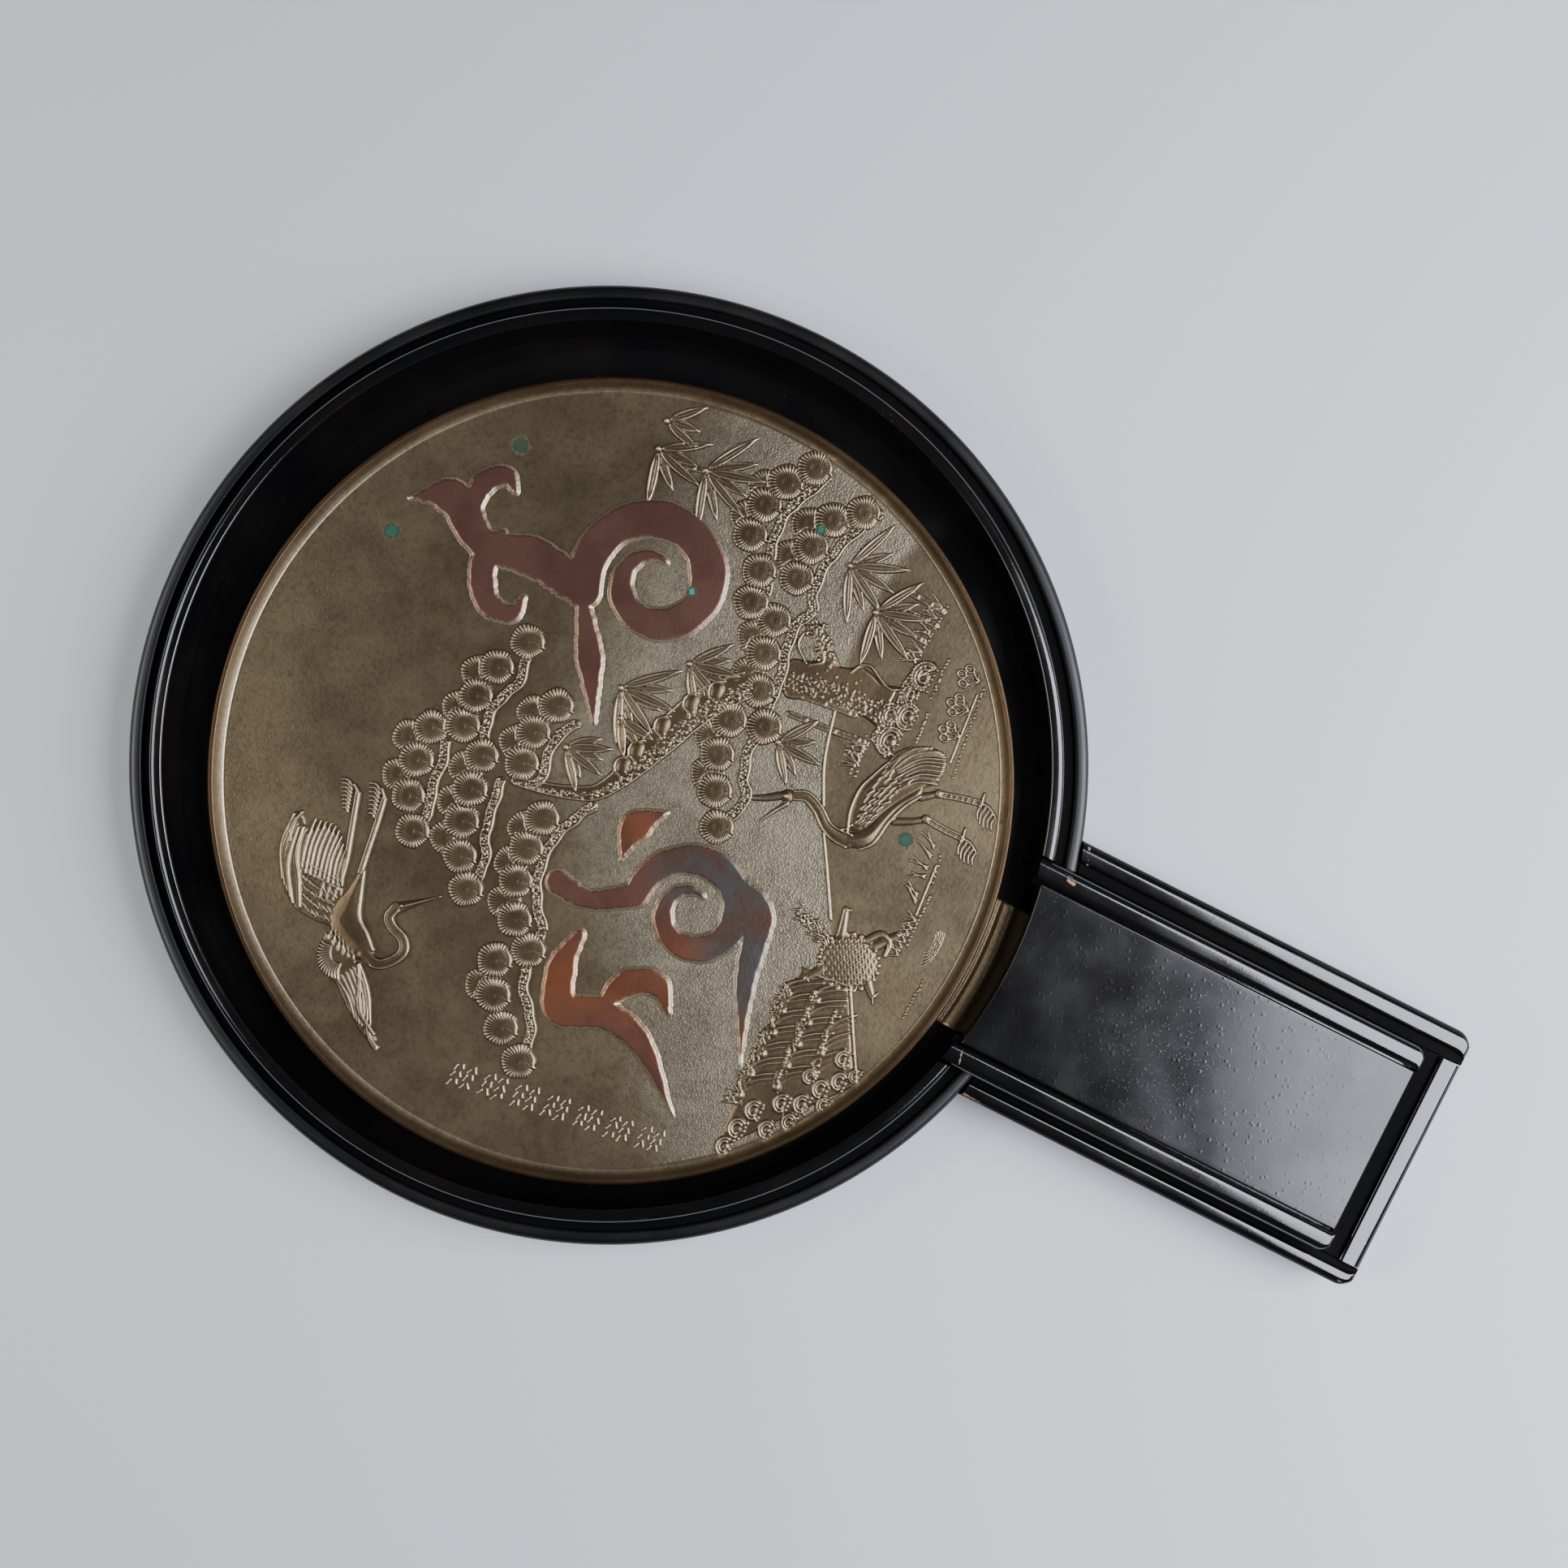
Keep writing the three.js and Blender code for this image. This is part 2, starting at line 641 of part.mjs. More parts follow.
function plants() {
  const height = 5.0;
  const spread = 35;
  return grasses.flatMap(({ at, count }) =>
    Array.from({ length: count }, (_, i) => {
      const degrees = 90 + spread * ((2 * i) / (count - 1) - 1);
      return blade(at[0], at[1], degrees, height, 1.3, lineHeight);
    })
  );
}

// Two groups of broad flat cloud scrolls, in the places of the large raised strokes
function spiral(x, y, outer, inner, fromDegrees, turns, count) {
  return Array.from({ length: count }, (_, i) => {
    const share = i / (count - 1);
    const angle = THREE.MathUtils.degToRad(fromDegrees + 360 * turns * share);
    const radius = outer + (inner - outer) * share;
    return [x + radius * Math.cos(angle), y + radius * Math.sin(angle)];
  });
}

function cloudScrolls() {
  const flat = 0.88;
  const upperCurl = spiral(59, 15, 21.5, 6.5, 125, -1.35, 12);
  const lowerCurl = spiral(-24, -39, 17.5, 5.5, 100, -1.3, 11);
  return [
    band(
      [[48, 92], [54, 80], [46, 66], [49, 50], [46.6, 32.6]],
      [0.6, 12, 10, 13, 11],
      scrollHeight,
      flat,
      12
    ),
    band(upperCurl, [11, 12, 12, 11, 9, 6, 2.4], scrollHeight, flat, 21),
    band([[51, 62], [40, 63], [31, 57], [31, 49], [37, 48]], [4, 9, 8, 6, 2.4], scrollHeight, flat, 10),
    band([[52, 72], [61, 74], [67, 69], [64, 64]], [4, 8, 6.5, 2.4], scrollHeight, flat, 9),
    band([[46, 33], [30, 22.5], [13, 12.5]], [4, 9, 2], scrollHeight, flat, 7),
    band([[-34, 1], [-34.5, -10], [-27, -21.8]], [8, 6.5, 8], scrollHeight, flat, 7),
    band(lowerCurl, [8, 10, 10, 9, 7, 5, 2.2], scrollHeight, flat, 18),
    band([[-8.5, -46.5], [-16, -57], [-36, -62.5], [-59, -72.5]], [3, 10, 7, 0.6], scrollHeight, flat, 10),
    band(
      [[-45, -12], [-56, -11.5], [-67, -17], [-63, -29], [-66, -43], [-81, -61.5]],
      [4, 9, 11, 10, 8, 0.6],
      scrollHeight,
      flat,
      11
    ),
    band([[-62, -27], [-52, -31], [-48, -39], [-54, -46]], [4, 9, 8, 2.4], scrollHeight, flat, 9),
    band([[-20, -13], [-9, -12.5], [-1, -19]], [1, 10, 1.4], scrollHeight, flat, 8),
  ];
}

// A column of short shallow strokes that spell nothing, in the place of an inscription
function strokeColumn() {
  const top = [-98, 2];
  const bottom = [-90, -59];
  const rows = 14;
  const reach = 3.6;
  const lean = [8, -14, 22];
  return along([top, bottom], rows).map((p, i) => {
    const angle = THREE.MathUtils.degToRad(lean[i % lean.length]);
    const half = reach * (i % 2 ? 0.65 : 1);
    const dx = half * Math.cos(angle);
    const dy = half * Math.sin(angle);
    return ridge([[p.x - dx, p.y - dy], [p.x + dx, p.y + dy]], 1.3, 2);
  });
}

// The mirror's blank casting: plate, rim and handle
function mirrorBlank() {
  const disc = turned([
    [0, 0],
    [mirrorRadius - rimEdge, 0],
    [mirrorRadius, rimEdge],
    [rimTop, rimHeight - rimEdge],
    [rimTop - rimEdge, rimHeight],
    [crest, rimHeight],
    [fieldRadius, plateThickness],
    [0, plateThickness],
  ]);
  const farEnd = -(mirrorRadius + handleLength);
  const near = -(mirrorRadius - handleRoot);
  const outline = roundEndedOutline(handleWidth / 2, near, farEnd, handleCornerRadius);
  const hollow = turned([
    [0, plateThickness],
    [fieldRadius, plateThickness],
    [crest, rimHeight],
    [0, rimHeight],
  ]);
  return disc.add(raised(outline, 0, handleThickness).subtract(hollow));
}

function mirror() {
  const picture = [
    ...strokeColumn(),
    ...cloudScrolls(),
    ...pineTrunk(),
    ...pineBoughs(),
    ...bambooLeaves(),
    ...flyingCrane(),
    ...standingCrane(),
    ...tortoise(),
    ...shore(),
    ...plants(),
  ];
  // The cast picture ends at the rim
  const relief = picture.reduce((whole, part) => whole.add(part)).intersect(plug(crest));
  const mesh = toMesh(mirrorBlank().add(relief), 'bronze_mirror', bronze);
  mesh.position.set(mirrorShift[0], mirrorShift[1], caseFloor);
  return mesh;
}

const object = new THREE.Group();
object.add(
  baseBoard(),
  ringWall(),
  ringLining(),
  handleRail(-1, 'handle_left_rail'),
  handleRail(1, 'handle_right_rail'),
  handleWall(-1, leftLedgeWidth, leftBeadWidth, 'handle_left_wall'),
  handleWall(1, rightLedgeWidth, rightBeadWidth, 'handle_right_wall'),
  endWall(),
  coverBoard(),
  mirror()
);

export default object;
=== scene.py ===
"""An antique cast bronze hand mirror, face down in its open black-lacquered case."""
import math

import bmesh
import bpy
import numpy as np
from mathutils import Matrix, Vector


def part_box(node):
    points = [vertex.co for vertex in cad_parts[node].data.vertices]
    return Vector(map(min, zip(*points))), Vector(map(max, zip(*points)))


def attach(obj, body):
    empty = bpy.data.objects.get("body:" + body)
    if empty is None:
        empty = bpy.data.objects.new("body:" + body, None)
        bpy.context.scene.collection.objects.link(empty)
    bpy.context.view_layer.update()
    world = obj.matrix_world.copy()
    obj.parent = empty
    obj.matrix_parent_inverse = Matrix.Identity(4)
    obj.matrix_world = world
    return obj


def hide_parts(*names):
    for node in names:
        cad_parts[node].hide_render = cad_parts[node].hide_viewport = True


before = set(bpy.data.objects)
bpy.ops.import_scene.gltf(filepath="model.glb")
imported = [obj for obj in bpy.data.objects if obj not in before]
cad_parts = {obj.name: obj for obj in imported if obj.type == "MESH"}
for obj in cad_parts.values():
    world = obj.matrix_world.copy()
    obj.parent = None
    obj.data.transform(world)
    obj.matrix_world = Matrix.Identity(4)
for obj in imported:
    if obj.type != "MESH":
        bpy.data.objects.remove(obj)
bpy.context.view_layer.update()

MM = 0.001
rng = np.random.default_rng(8)


def box_mm(node):
    """A CAD node's lowest and highest corners in millimetres."""
    low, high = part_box(node)
    return np.array(low) / MM, np.array(high) / MM


# Sizes, in millimetres, worked out from the frame
base_low, base_high = box_mm("base_board")
wall_low, wall_high = box_mm("round_outer_wall")
_, lining_high = box_mm("round_raised_lining")
rail_low, rail_high = box_mm("handle_right_rail")
right_low, right_high = box_mm("handle_right_wall")
left_low, _ = box_mm("handle_left_wall")
cover_low, cover_high = box_mm("handle_cover_board")
mirror_low, mirror_high = box_mm("bronze_mirror")

JOINT_GAP = 0.3
CASE_FLOOR = wall_low[2]
BEAD_TOP = wall_high[2]
BEAD_HEIGHT = 1.3
LEDGE_TOP = BEAD_TOP - BEAD_HEIGHT
LINING_TOP = lining_high[2]
RING_OUTER = wall_high[1]
LINING_OUTER = lining_high[1]
LINING_THICKNESS = 4.0
LINING_INNER = LINING_OUTER - LINING_THICKNESS
WALL_INNER = LINING_OUTER + JOINT_GAP
LEDGE_WIDTH = 3.2
RAIL_OUTER = rail_high[0]
RAIL_THICKNESS = 6.6
RAIL_SHELF = 1.6
RAIL_INNER = RAIL_OUTER - RAIL_THICKNESS
RAIL_END = -rail_low[1]
RAIL_CORNER = 3.0
SIDE_INNER = right_low[0]
RIGHT_OUTER = right_high[0]
LEFT_OUTER = -left_low[0]
RIGHT_LEDGE = 3.2
LEFT_LEDGE = 1.9
OUTER_END = -right_low[1]
OUTER_CORNER = 5.0
END_START = RAIL_END + JOINT_GAP
END_LEDGE = 5.6
SHELF_TOP = cover_low[2] - JOINT_GAP
COVER_HALF = cover_high[0]
COVER_END = -cover_low[1]
COVER_ARC = LINING_INNER + 1.8

MIRROR_RADIUS = 120.0
MIRROR_CENTRE = np.array([mirror_low[0] + mirror_high[0], 2 * mirror_high[1] - 2 * MIRROR_RADIUS]) / 2
MIRROR_FACE = mirror_low[2]
PLATE = 3.2
RIM_HEIGHT = mirror_high[2] - mirror_low[2]
GROUND = MIRROR_FACE + PLATE
FIELD_RADIUS = 115.7
RIM_TOP_WIDTH = 1.6
RIM_TAPER = 0.4
LIT_SLOPE_SHARE = 0.55
HANDLE_HALF = 20.5
HANDLE_THICKNESS = 3.6
SWELL_RADIUS = 124.6
SWELL_HEIGHT = 0.85
GROOVE_RADIUS = 121.2
GROOVE_DEPTH = 0.5
HANDLE_END = mirror_low[1]


# Meshes

def add_piece(name, verts, faces, material, layers=None, recalc=True, weighted=True):
    """A piece from points in millimetres; layers are numbers stored on its points."""
    mesh = bpy.data.meshes.new(name)
    points = np.asarray(verts, dtype=np.float64).reshape(-1, 3) * MM
    if isinstance(faces, np.ndarray):
        count = len(faces)
        mesh.vertices.add(len(points))
        mesh.vertices.foreach_set("co", points.astype(np.float32).ravel())
        mesh.loops.add(count * 4)
        mesh.loops.foreach_set("vertex_index", faces.astype(np.int32).ravel())
        mesh.polygons.add(count)
        mesh.polygons.foreach_set("loop_start", np.arange(0, count * 4, 4, dtype=np.int32))
        mesh.update(calc_edges=True)
    else:
        mesh.from_pydata(points.tolist(), [], faces)
    if recalc:
        work = bmesh.new()
        work.from_mesh(mesh)
        bmesh.ops.recalc_face_normals(work, faces=work.faces)
        work.to_mesh(mesh)
        work.free()
    for key, values in (layers or {}).items():
        layer = mesh.attributes.new(key, "FLOAT", "POINT")
        layer.data.foreach_set("value", np.asarray(values, dtype=np.float32).ravel())
    mesh.polygons.foreach_set("use_smooth", np.ones(len(mesh.polygons), dtype=bool))
    mesh.materials.append(material)
    piece = bpy.data.objects.new(name, mesh)
    bpy.context.scene.collection.objects.link(piece)
    if weighted:
        mesh.set_sharp_from_angle(angle=math.radians(40))
        piece.modifiers.new("even_shading", "WEIGHTED_NORMAL").keep_sharp = True
    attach(piece, "root")
    return piece


def rounded(corners, steps=5):
    """A closed outline with round corners, and how much each point is on a corner."""
    points = []
    edges = []
    count = len(corners)
    for i, (x, y, radius) in enumerate(corners):
        here = np.array([x, y], dtype=float)
        before = np.array(corners[i - 1][:2], dtype=float)
        after = np.array(corners[(i + 1) % count][:2], dtype=float)
        if radius <= 0:
            points.append(here)
            edges.append(0.0)
            continue
        one = (before - here) / np.linalg.norm(before - here)
        two = (after - here) / np.linalg.norm(after - here)
        half = math.acos(max(-1.0, min(1.0, float(one @ two)))) / 2
        reach = radius / math.tan(half)
        centre = here + (one + two) / np.linalg.norm(one + two) * radius / math.sin(half)
        start = here + one * reach - centre
        stop = here + two * reach - centre
        angle = math.atan2(start[0] * stop[1] - start[1] * stop[0], float(start @ stop))
        for k in range(steps + 1):
            turn = angle * k / steps
            c, s = math.cos(turn), math.sin(turn)
            points.append(centre + np.array([c * start[0] - s * start[1], s * start[0] + c * start[1]]))
            edges.append(1.0 if 0 < k < steps else 0.6)
    return np.array(points), np.array(edges)


def skin(rings, closed=False):
    """Faces over rings of the same number of points, with flat ends where it is open."""
    m, n = len(rings), len(rings[0])
    faces = []
    for k in range(m if closed else m - 1):
        a = k * n
        b = ((k + 1) % m) * n
        for i in range(n):
            j = (i + 1) % n
            faces.append((a + i, a + j, b + j, b + i))
    if not closed:
        faces.append(tuple(range(n)))
        faces.append(tuple(range((m - 1) * n, m * n))[::-1])
    return faces


# Case profiles: across, height and corner radius

def wall_profile(inner, ledge, outer):
    foot = inner + ledge
    bead = outer - foot
    return [
        (inner, CASE_FLOOR, 0.2),
        (outer, CASE_FLOOR, 1.2),
        (outer, BEAD_TOP, min(3.0, bead * 0.5)),
        (foot, BEAD_TOP, 1.2),
        (foot, LEDGE_TOP, 0.25),
        (inner, LEDGE_TOP, 0.3),
    ]


def lining_profile():
    return [
        (LINING_INNER, CASE_FLOOR, 0.0),
        (LINING_OUTER, CASE_FLOOR, 0.2),
        (LINING_OUTER, LINING_TOP, 2.0),
        (LINING_INNER, LINING_TOP, 0.7),
    ]


def rail_profile():
    return [
        (RAIL_INNER - RAIL_SHELF, CASE_FLOOR, 0.0),
        (RAIL_OUTER, CASE_FLOOR, 0.2),
        (RAIL_OUTER, LINING_TOP, 2.6),
        (RAIL_INNER, LINING_TOP, 1.9),
        (RAIL_INNER, SHELF_TOP, 0.0),
        (RAIL_INNER - RAIL_SHELF, SHELF_TOP, 0.2),
    ]


RING_SEGMENTS = 540


def open_ring(corners, segments=RING_SEGMENTS):
    """A profile turned about Z, cut off flat on both sides of the handle's pieces."""
    profile, edge = rounded(corners)
    half = RAIL_OUTER + JOINT_GAP
    rings = []
    for k in range(segments + 1):
        ring = []
        for r, z in profile:
            gap = math.asin(half / r)
            angle = gap + (2 * math.pi - 2 * gap) * k / segments
            ring.append((r * math.sin(angle), -r * math.cos(angle), z))
        rings.append(ring)
    return np.array(rings), np.tile(edge, segments + 1)


def end_drop(distance, radius):
    """How far a rounded edge has dropped at this distance from the end."""
    if distance >= radius:
        return 0.0
    return radius - math.sqrt(max(radius**2 - (radius - distance) ** 2, 0.0))


def bar(corners, near_radius, far, side, corner_radius, length_steps=60, end_radius=1.0):
    """A profile run along -Y from the round part to its end, its outer corner round in plan."""
    profile, edge = rounded(corners)
    inner = profile[:, 0].min()
    outer = profile[:, 0].max()
    top = profile[:, 1].max()
    near_end = [5.5, 5.0, 4.5, 4.0, 3.5, 3.0, 2.5, 2.0, 1.5, 1.0, 0.7, 0.4, 0.2, 0.06, 0.0]
    reach = far - near_radius
    stations = list(np.linspace(reach, 7.0, length_steps)[1:]) + near_end
    rings = []
    first = [(side * x, -math.sqrt(near_radius**2 - x**2), z) for x, z in profile]
    rings.append(first)
    for d in stations:
        pull = end_drop(d, corner_radius)
        drop = end_drop(d, end_radius)
        ring = []
        for x, z in profile:
            moved = x - pull * (x - inner) / (outer - inner)
            ring.append((side * moved, -far + d, min(z, top - drop)))
        rings.append(ring)
    return np.array(rings), np.tile(edge, len(rings))


# Photo places: a pixel of the 1932-pixel picture on the plane of the lining's top
CAMERA_XY = np.array([18.16, -48.40])
CAMERA_RISE = 540.0
RIM_PLANE = MIRROR_FACE + RIM_HEIGHT
PIXEL = 0.24
PICTURE_HALF = 966.0
RIGHT = np.array([0.4493, -0.8934])
UP = np.array([0.8934, 0.4493])


def seen_at(px, py, height):
    """The place in the case's plan that shows at a pixel, at a given height."""
    scale = PIXEL * (CAMERA_RISE - (height - RIM_PLANE)) / CAMERA_RISE
    return CAMERA_XY + scale * ((px - PICTURE_HALF) * RIGHT - (py - PICTURE_HALF) * UP)


# Materials

def node_material(name):
    material = bpy.data.materials.new(name)
    material.use_nodes = True
    tree = material.node_tree
    shader = tree.nodes["Principled BSDF"]
    return material, tree, shader


class Graph:
    """Short calls for making and linking shader nodes."""

    def __init__(self, tree):
        self.tree = tree
        self.coords = tree.nodes.new("ShaderNodeTexCoord").outputs["Object"]

    def link(self, a, b):
        self.tree.links.new(a, b)
        return b

    def node(self, kind, **values):
        """A new node; an underline in a socket's name stands for a space."""
        node = self.tree.nodes.new("ShaderNode" + kind)
        for key, value in values.items():
            node.inputs[key.replace("_", " ")].default_value = value
        return node

    def noise(self, scale, detail=3.0, roughness=0.55, stretch=None, distortion=0.0):
        node = self.node("TexNoise", Scale=scale, Detail=detail, Roughness=roughness, Distortion=distortion)
        source = self.coords
        if stretch:
            mapping = self.node("Mapping", Scale=stretch)
            self.link(self.coords, mapping.inputs["Vector"])
            source = mapping.outputs["Vector"]
        self.link(source, node.inputs["Vector"])
        return node.outputs["Fac"]

    def cells(self, scale):
        node = self.node("TexVoronoi", Scale=scale)
        self.link(self.coords, node.inputs["Vector"])
        return node.outputs["Distance"]

    def math(self, operation, a, b=None, clamp=False):
        node = self.node("Math")
        node.operation = operation
        node.use_clamp = clamp
        for socket, value in zip(node.inputs, (a, b)):
            if value is None:
                continue
            if isinstance(value, (int, float)):
                socket.default_value = value
            else:
                self.link(value, socket)
        return node.outputs[0]

    def times(self, a, b, clamp=False):
        return self.math("MULTIPLY", a, b, clamp)

    def plus(self, a, b, clamp=False):
        return self.math("ADD", a, b, clamp)

    def minus(self, a, b, clamp=False):
        return self.math("SUBTRACT", a, b, clamp)

    def most(self, a, b):
        return self.math("MAXIMUM", a, b)

    def ramp(self, value, low, high, to_low=0.0, to_high=1.0):
        node = self.node("MapRange", From_Min=low, From_Max=high, To_Min=to_low, To_Max=to_high)
        node.interpolation_type = "SMOOTHSTEP"
        self.link(value, node.inputs["Value"])
        return node.outputs["Result"]

    def mix(self, factor, a, b):
        node = self.node("Mix")
        node.data_type = "RGBA"
        sockets = [s for s in node.inputs if s.type == "RGBA"]
        for socket, value in zip(sockets, (a, b)):
            if isinstance(value, tuple):
                socket.default_value = (*value, 1.0)
            else:
                self.link(value, socket)
        self.link(factor, node.inputs["Factor"])
        return next(s for s in node.outputs if s.type == "RGBA")

    def layer(self, name):
        node = self.node("Attribute")
        node.attribute_name = name
        return node.outputs["Fac"]

    def vector(self, operation, a, b=None):
        node = self.node("VectorMath")
        node.operation = operation
        for socket, value in zip(node.inputs, (a, b)):
            if isinstance(value, tuple):
                socket.default_value = value
            elif value is not None:
                self.link(value, socket)
        return node.outputs["Value" if operation in ("DOT_PRODUCT", "LENGTH") else "Vector"]

    def beside(self, a, b):
        """Distance from the straight line between two places."""
        step = np.subtract(b, a)
        away = self.vector("SUBTRACT", self.coords, tuple(a))
        share = self.vector("DOT_PRODUCT", away, tuple(step / float(step @ step)))
        share = self.math("MINIMUM", self.math("MAXIMUM", share, 0.0), 1.0)
        node = self.node("VectorMath")
        node.operation = "SCALE"
        node.inputs[0].default_value = tuple(step)
        self.link(share, node.inputs["Scale"])
        return self.vector("LENGTH", self.vector("SUBTRACT", away, node.outputs["Vector"]))

    def near(self, x, y, z):
        node = self.node("VectorMath")
        node.operation = "DISTANCE"
        node.inputs[1].default_value = (x, y, z)
        self.link(self.coords, node.inputs[0])
        return node.outputs["Value"]

    def bump(self, height, distance, strength, under=None):
        node = self.node("Bump", Distance=distance, Strength=strength)
        self.link(height, node.inputs["Height"])
        if under is not None:
            self.link(under, node.inputs["Normal"])
        return node.outputs["Normal"]


# Colours, linear
LACQUER = (0.0022, 0.0021, 0.0024)
LACQUER_WORN = (0.0045, 0.0035, 0.0032)
DUST = (0.16, 0.15, 0.14)
WOOD = (0.30, 0.115, 0.042)
WORN_EDGE = (0.03, 0.016, 0.010)

# Worn streaks of the lacquer: two pixels of the picture, height, half width, how far it is worn
WEAR = [
    ((507, 452), (557, 430), "LINING", 0.55, 1.0),
    ((560, 480), (616, 447), "INNER", 0.30, 0.7),
    ((462, 545), (500, 515), "INNER", 0.28, 0.5),
    ((780, 1492), (815, 1490), "BEAD", 0.35, 0.8),
    ((583, 1440), (583, 1452), "INNER", 0.9, 1.0),
    ((1187, 1290), (1180, 1318), "LINING", 0.40, 0.9),
    ((1308, 1072), (1322, 1082), "LINING", 0.40, 0.9),
    ((1317, 1085), (1323, 1089), "LINING", 0.85, 1.0),
    ((1343, 1041), (1340, 1066), "BEAD", 0.55, 1.0),
    ((1188, 1348), (1262, 1396), "BEAD", 0.75, 0.9),
    ((1125, 1405), (1190, 1350), "BEAD", 0.6, 0.7),
    ((1195, 1326), (1215, 1340), "BEAD", 0.45, 0.7),
    ((1130, 1385), (1190, 1330), "BEAD", 0.3, 0.5),
    ((1284, 735), (1330, 860), "BEAD", 0.45, 0.35),
    ((1668, 1561), (1672, 1563), "BEAD", 0.5, 1.0),
    ((1649, 1577), (1652, 1578), "BEAD", 0.5, 1.0),
    ((1786, 1284), (1797, 1298), "BEAD", 0.35, 0.5),
]
WEAR_SPREAD = 1.7
DUSTY_PLACE = (-0.001, -0.185, cover_high[2] * MM)


def lacquer_material(name, gloss=0.10, dusty=0.0):
    material, tree, shader = node_material(name)
    g = Graph(tree)
    cloud = g.noise(22.0, 4.0)
    edge = g.layer("edge")
    matt = g.layer("matt")
    ragged = g.noise(900.0, 6.0, 0.75)
    tops = {"LINING": LINING_TOP, "INNER": (LINING_TOP + CASE_FLOOR) / 2, "BEAD": BEAD_TOP - 0.5}
    bare = None
    for first, last, level, width, depth in WEAR:
        z = tops[level]
        ends = [tuple(np.array([*seen_at(*place, z), z]) * MM) for place in (first, last)]
        reach = g.math("DIVIDE", g.beside(*ends), width * WEAR_SPREAD * MM)
        spot = g.times(g.minus(1.0, reach, clamp=True), depth)
        bare = spot if bare is None else g.most(bare, spot)
    bare = g.ramp(g.times(bare, ragged), 0.27, 0.36)
    worn = g.times(g.ramp(g.times(edge, g.noise(150.0, 5.0, 0.7)), 0.60, 0.74), 0.30)
    colour = g.mix(g.ramp(cloud, 0.35, 0.7), LACQUER, LACQUER_WORN)
    colour = g.mix(worn, colour, WORN_EDGE)
    specks = g.ramp(g.cells(620.0), 0.10, 0.045)
    sparse = g.ramp(g.noise(95.0, 2.0), 0.60, 0.68)
    dust = g.times(specks, g.times(sparse, 0.6))
    if dusty:
        middle = g.ramp(g.near(*DUSTY_PLACE), 0.042, 0.006)
        grains = g.ramp(g.cells(1150.0), 0.20, 0.08)
        grains = g.times(grains, g.ramp(g.noise(260.0, 3.0), 0.42, 0.56))
        dust = g.most(dust, g.times(grains, g.times(middle, dusty)))
    colour = g.mix(g.times(dust, 0.8), colour, DUST)
    colour = g.mix(bare, colour, WOOD)
    g.link(colour, shader.inputs["Base Color"])
    rough = g.ramp(g.noise(45.0, 5.0), 0.3, 0.75, gloss, gloss + 0.10)
    rough = g.plus(rough, g.times(matt, 0.55))
    rough = g.plus(rough, g.times(bare, 0.5))
    rough = g.plus(rough, g.times(dust, 0.3), clamp=True)
    g.link(rough, shader.inputs["Roughness"])
    shine = g.minus(0.5 if dusty else 0.75, g.times(matt, 0.72), clamp=True)
    g.link(shine, shader.inputs["Specular IOR Level"])
    wave = g.bump(g.noise(38.0, 2.0), 0.0006, 0.06)
    boards = g.bump(g.noise(150.0, 3.0, 0.5, (1.0, 0.06, 1.0)), 0.0002, 0.10, wave)
    pimples = g.bump(g.ramp(g.cells(430.0), 0.30, 0.05), 0.0001, 0.16 if dusty else 0.06, boards)
    grain = g.bump(g.noise(1400.0, 2.0), 0.00006, 0.10, pimples)
    pits = g.bump(g.minus(1.0, bare), 0.0004, 0.7, grain)
    g.link(pits, shader.inputs["Normal"])
    return material


lacquer = lacquer_material("black lacquer")
cover_lacquer = lacquer_material("cover board lacquer", 0.16, dusty=0.8)

# Bronze colours, linear
BRONZE = (0.205, 0.152, 0.086)
BRONZE_SHADE = (0.090, 0.066, 0.038)
BRONZE_GROUND = (0.345, 0.295, 0.205)
BRONZE_DARK = (0.060, 0.042, 0.026)
BRONZE_BROWN = (0.115, 0.072, 0.036)
# Bright bronze for rubbed high points, which also serves as a painted highlight
BRONZE_POLISH_AND_HIGHLIGHT = (0.70, 0.57, 0.39)
# Painted highlight for the scrolls' bevelled sides
PAINTED_SIDE_HIGHLIGHT = (0.46, 0.38, 0.26)
RIM_BROWN = (0.080, 0.045, 0.022)
OLIVE = (0.12, 0.105, 0.055)
COPPER_RED = (0.175, 0.084, 0.060)
COPPER_ORANGE = (0.34, 0.105, 0.036)
COPPER_DULL = (0.085, 0.042, 0.032)
STEEL = (0.110, 0.098, 0.088)
VERDIGRIS = (0.026, 0.21, 0.15)
VERDIGRIS_DARK = (0.006, 0.030, 0.020)
METAL_SHARE = 0.85


def on_mirror(u, v, height=0.0):
    """A place of the mirror's picture, in metres."""
    x, y = MIRROR_CENTRE + np.array([u, v])
    return x * MM, y * MM, (GROUND + height) * MM


# Green spots: right, up, radius, how bright
SPOTS = [
    (37.0, 92.0, 2.6, 0.18),
    (77.0, 69.0, 2.8, 0.0),
    (61.0, 4.0, 1.5, 1.0),
    (94.5, -22.0, 1.7, 0.45),
    (23.5, -86.0, 2.5, 0.15),
]


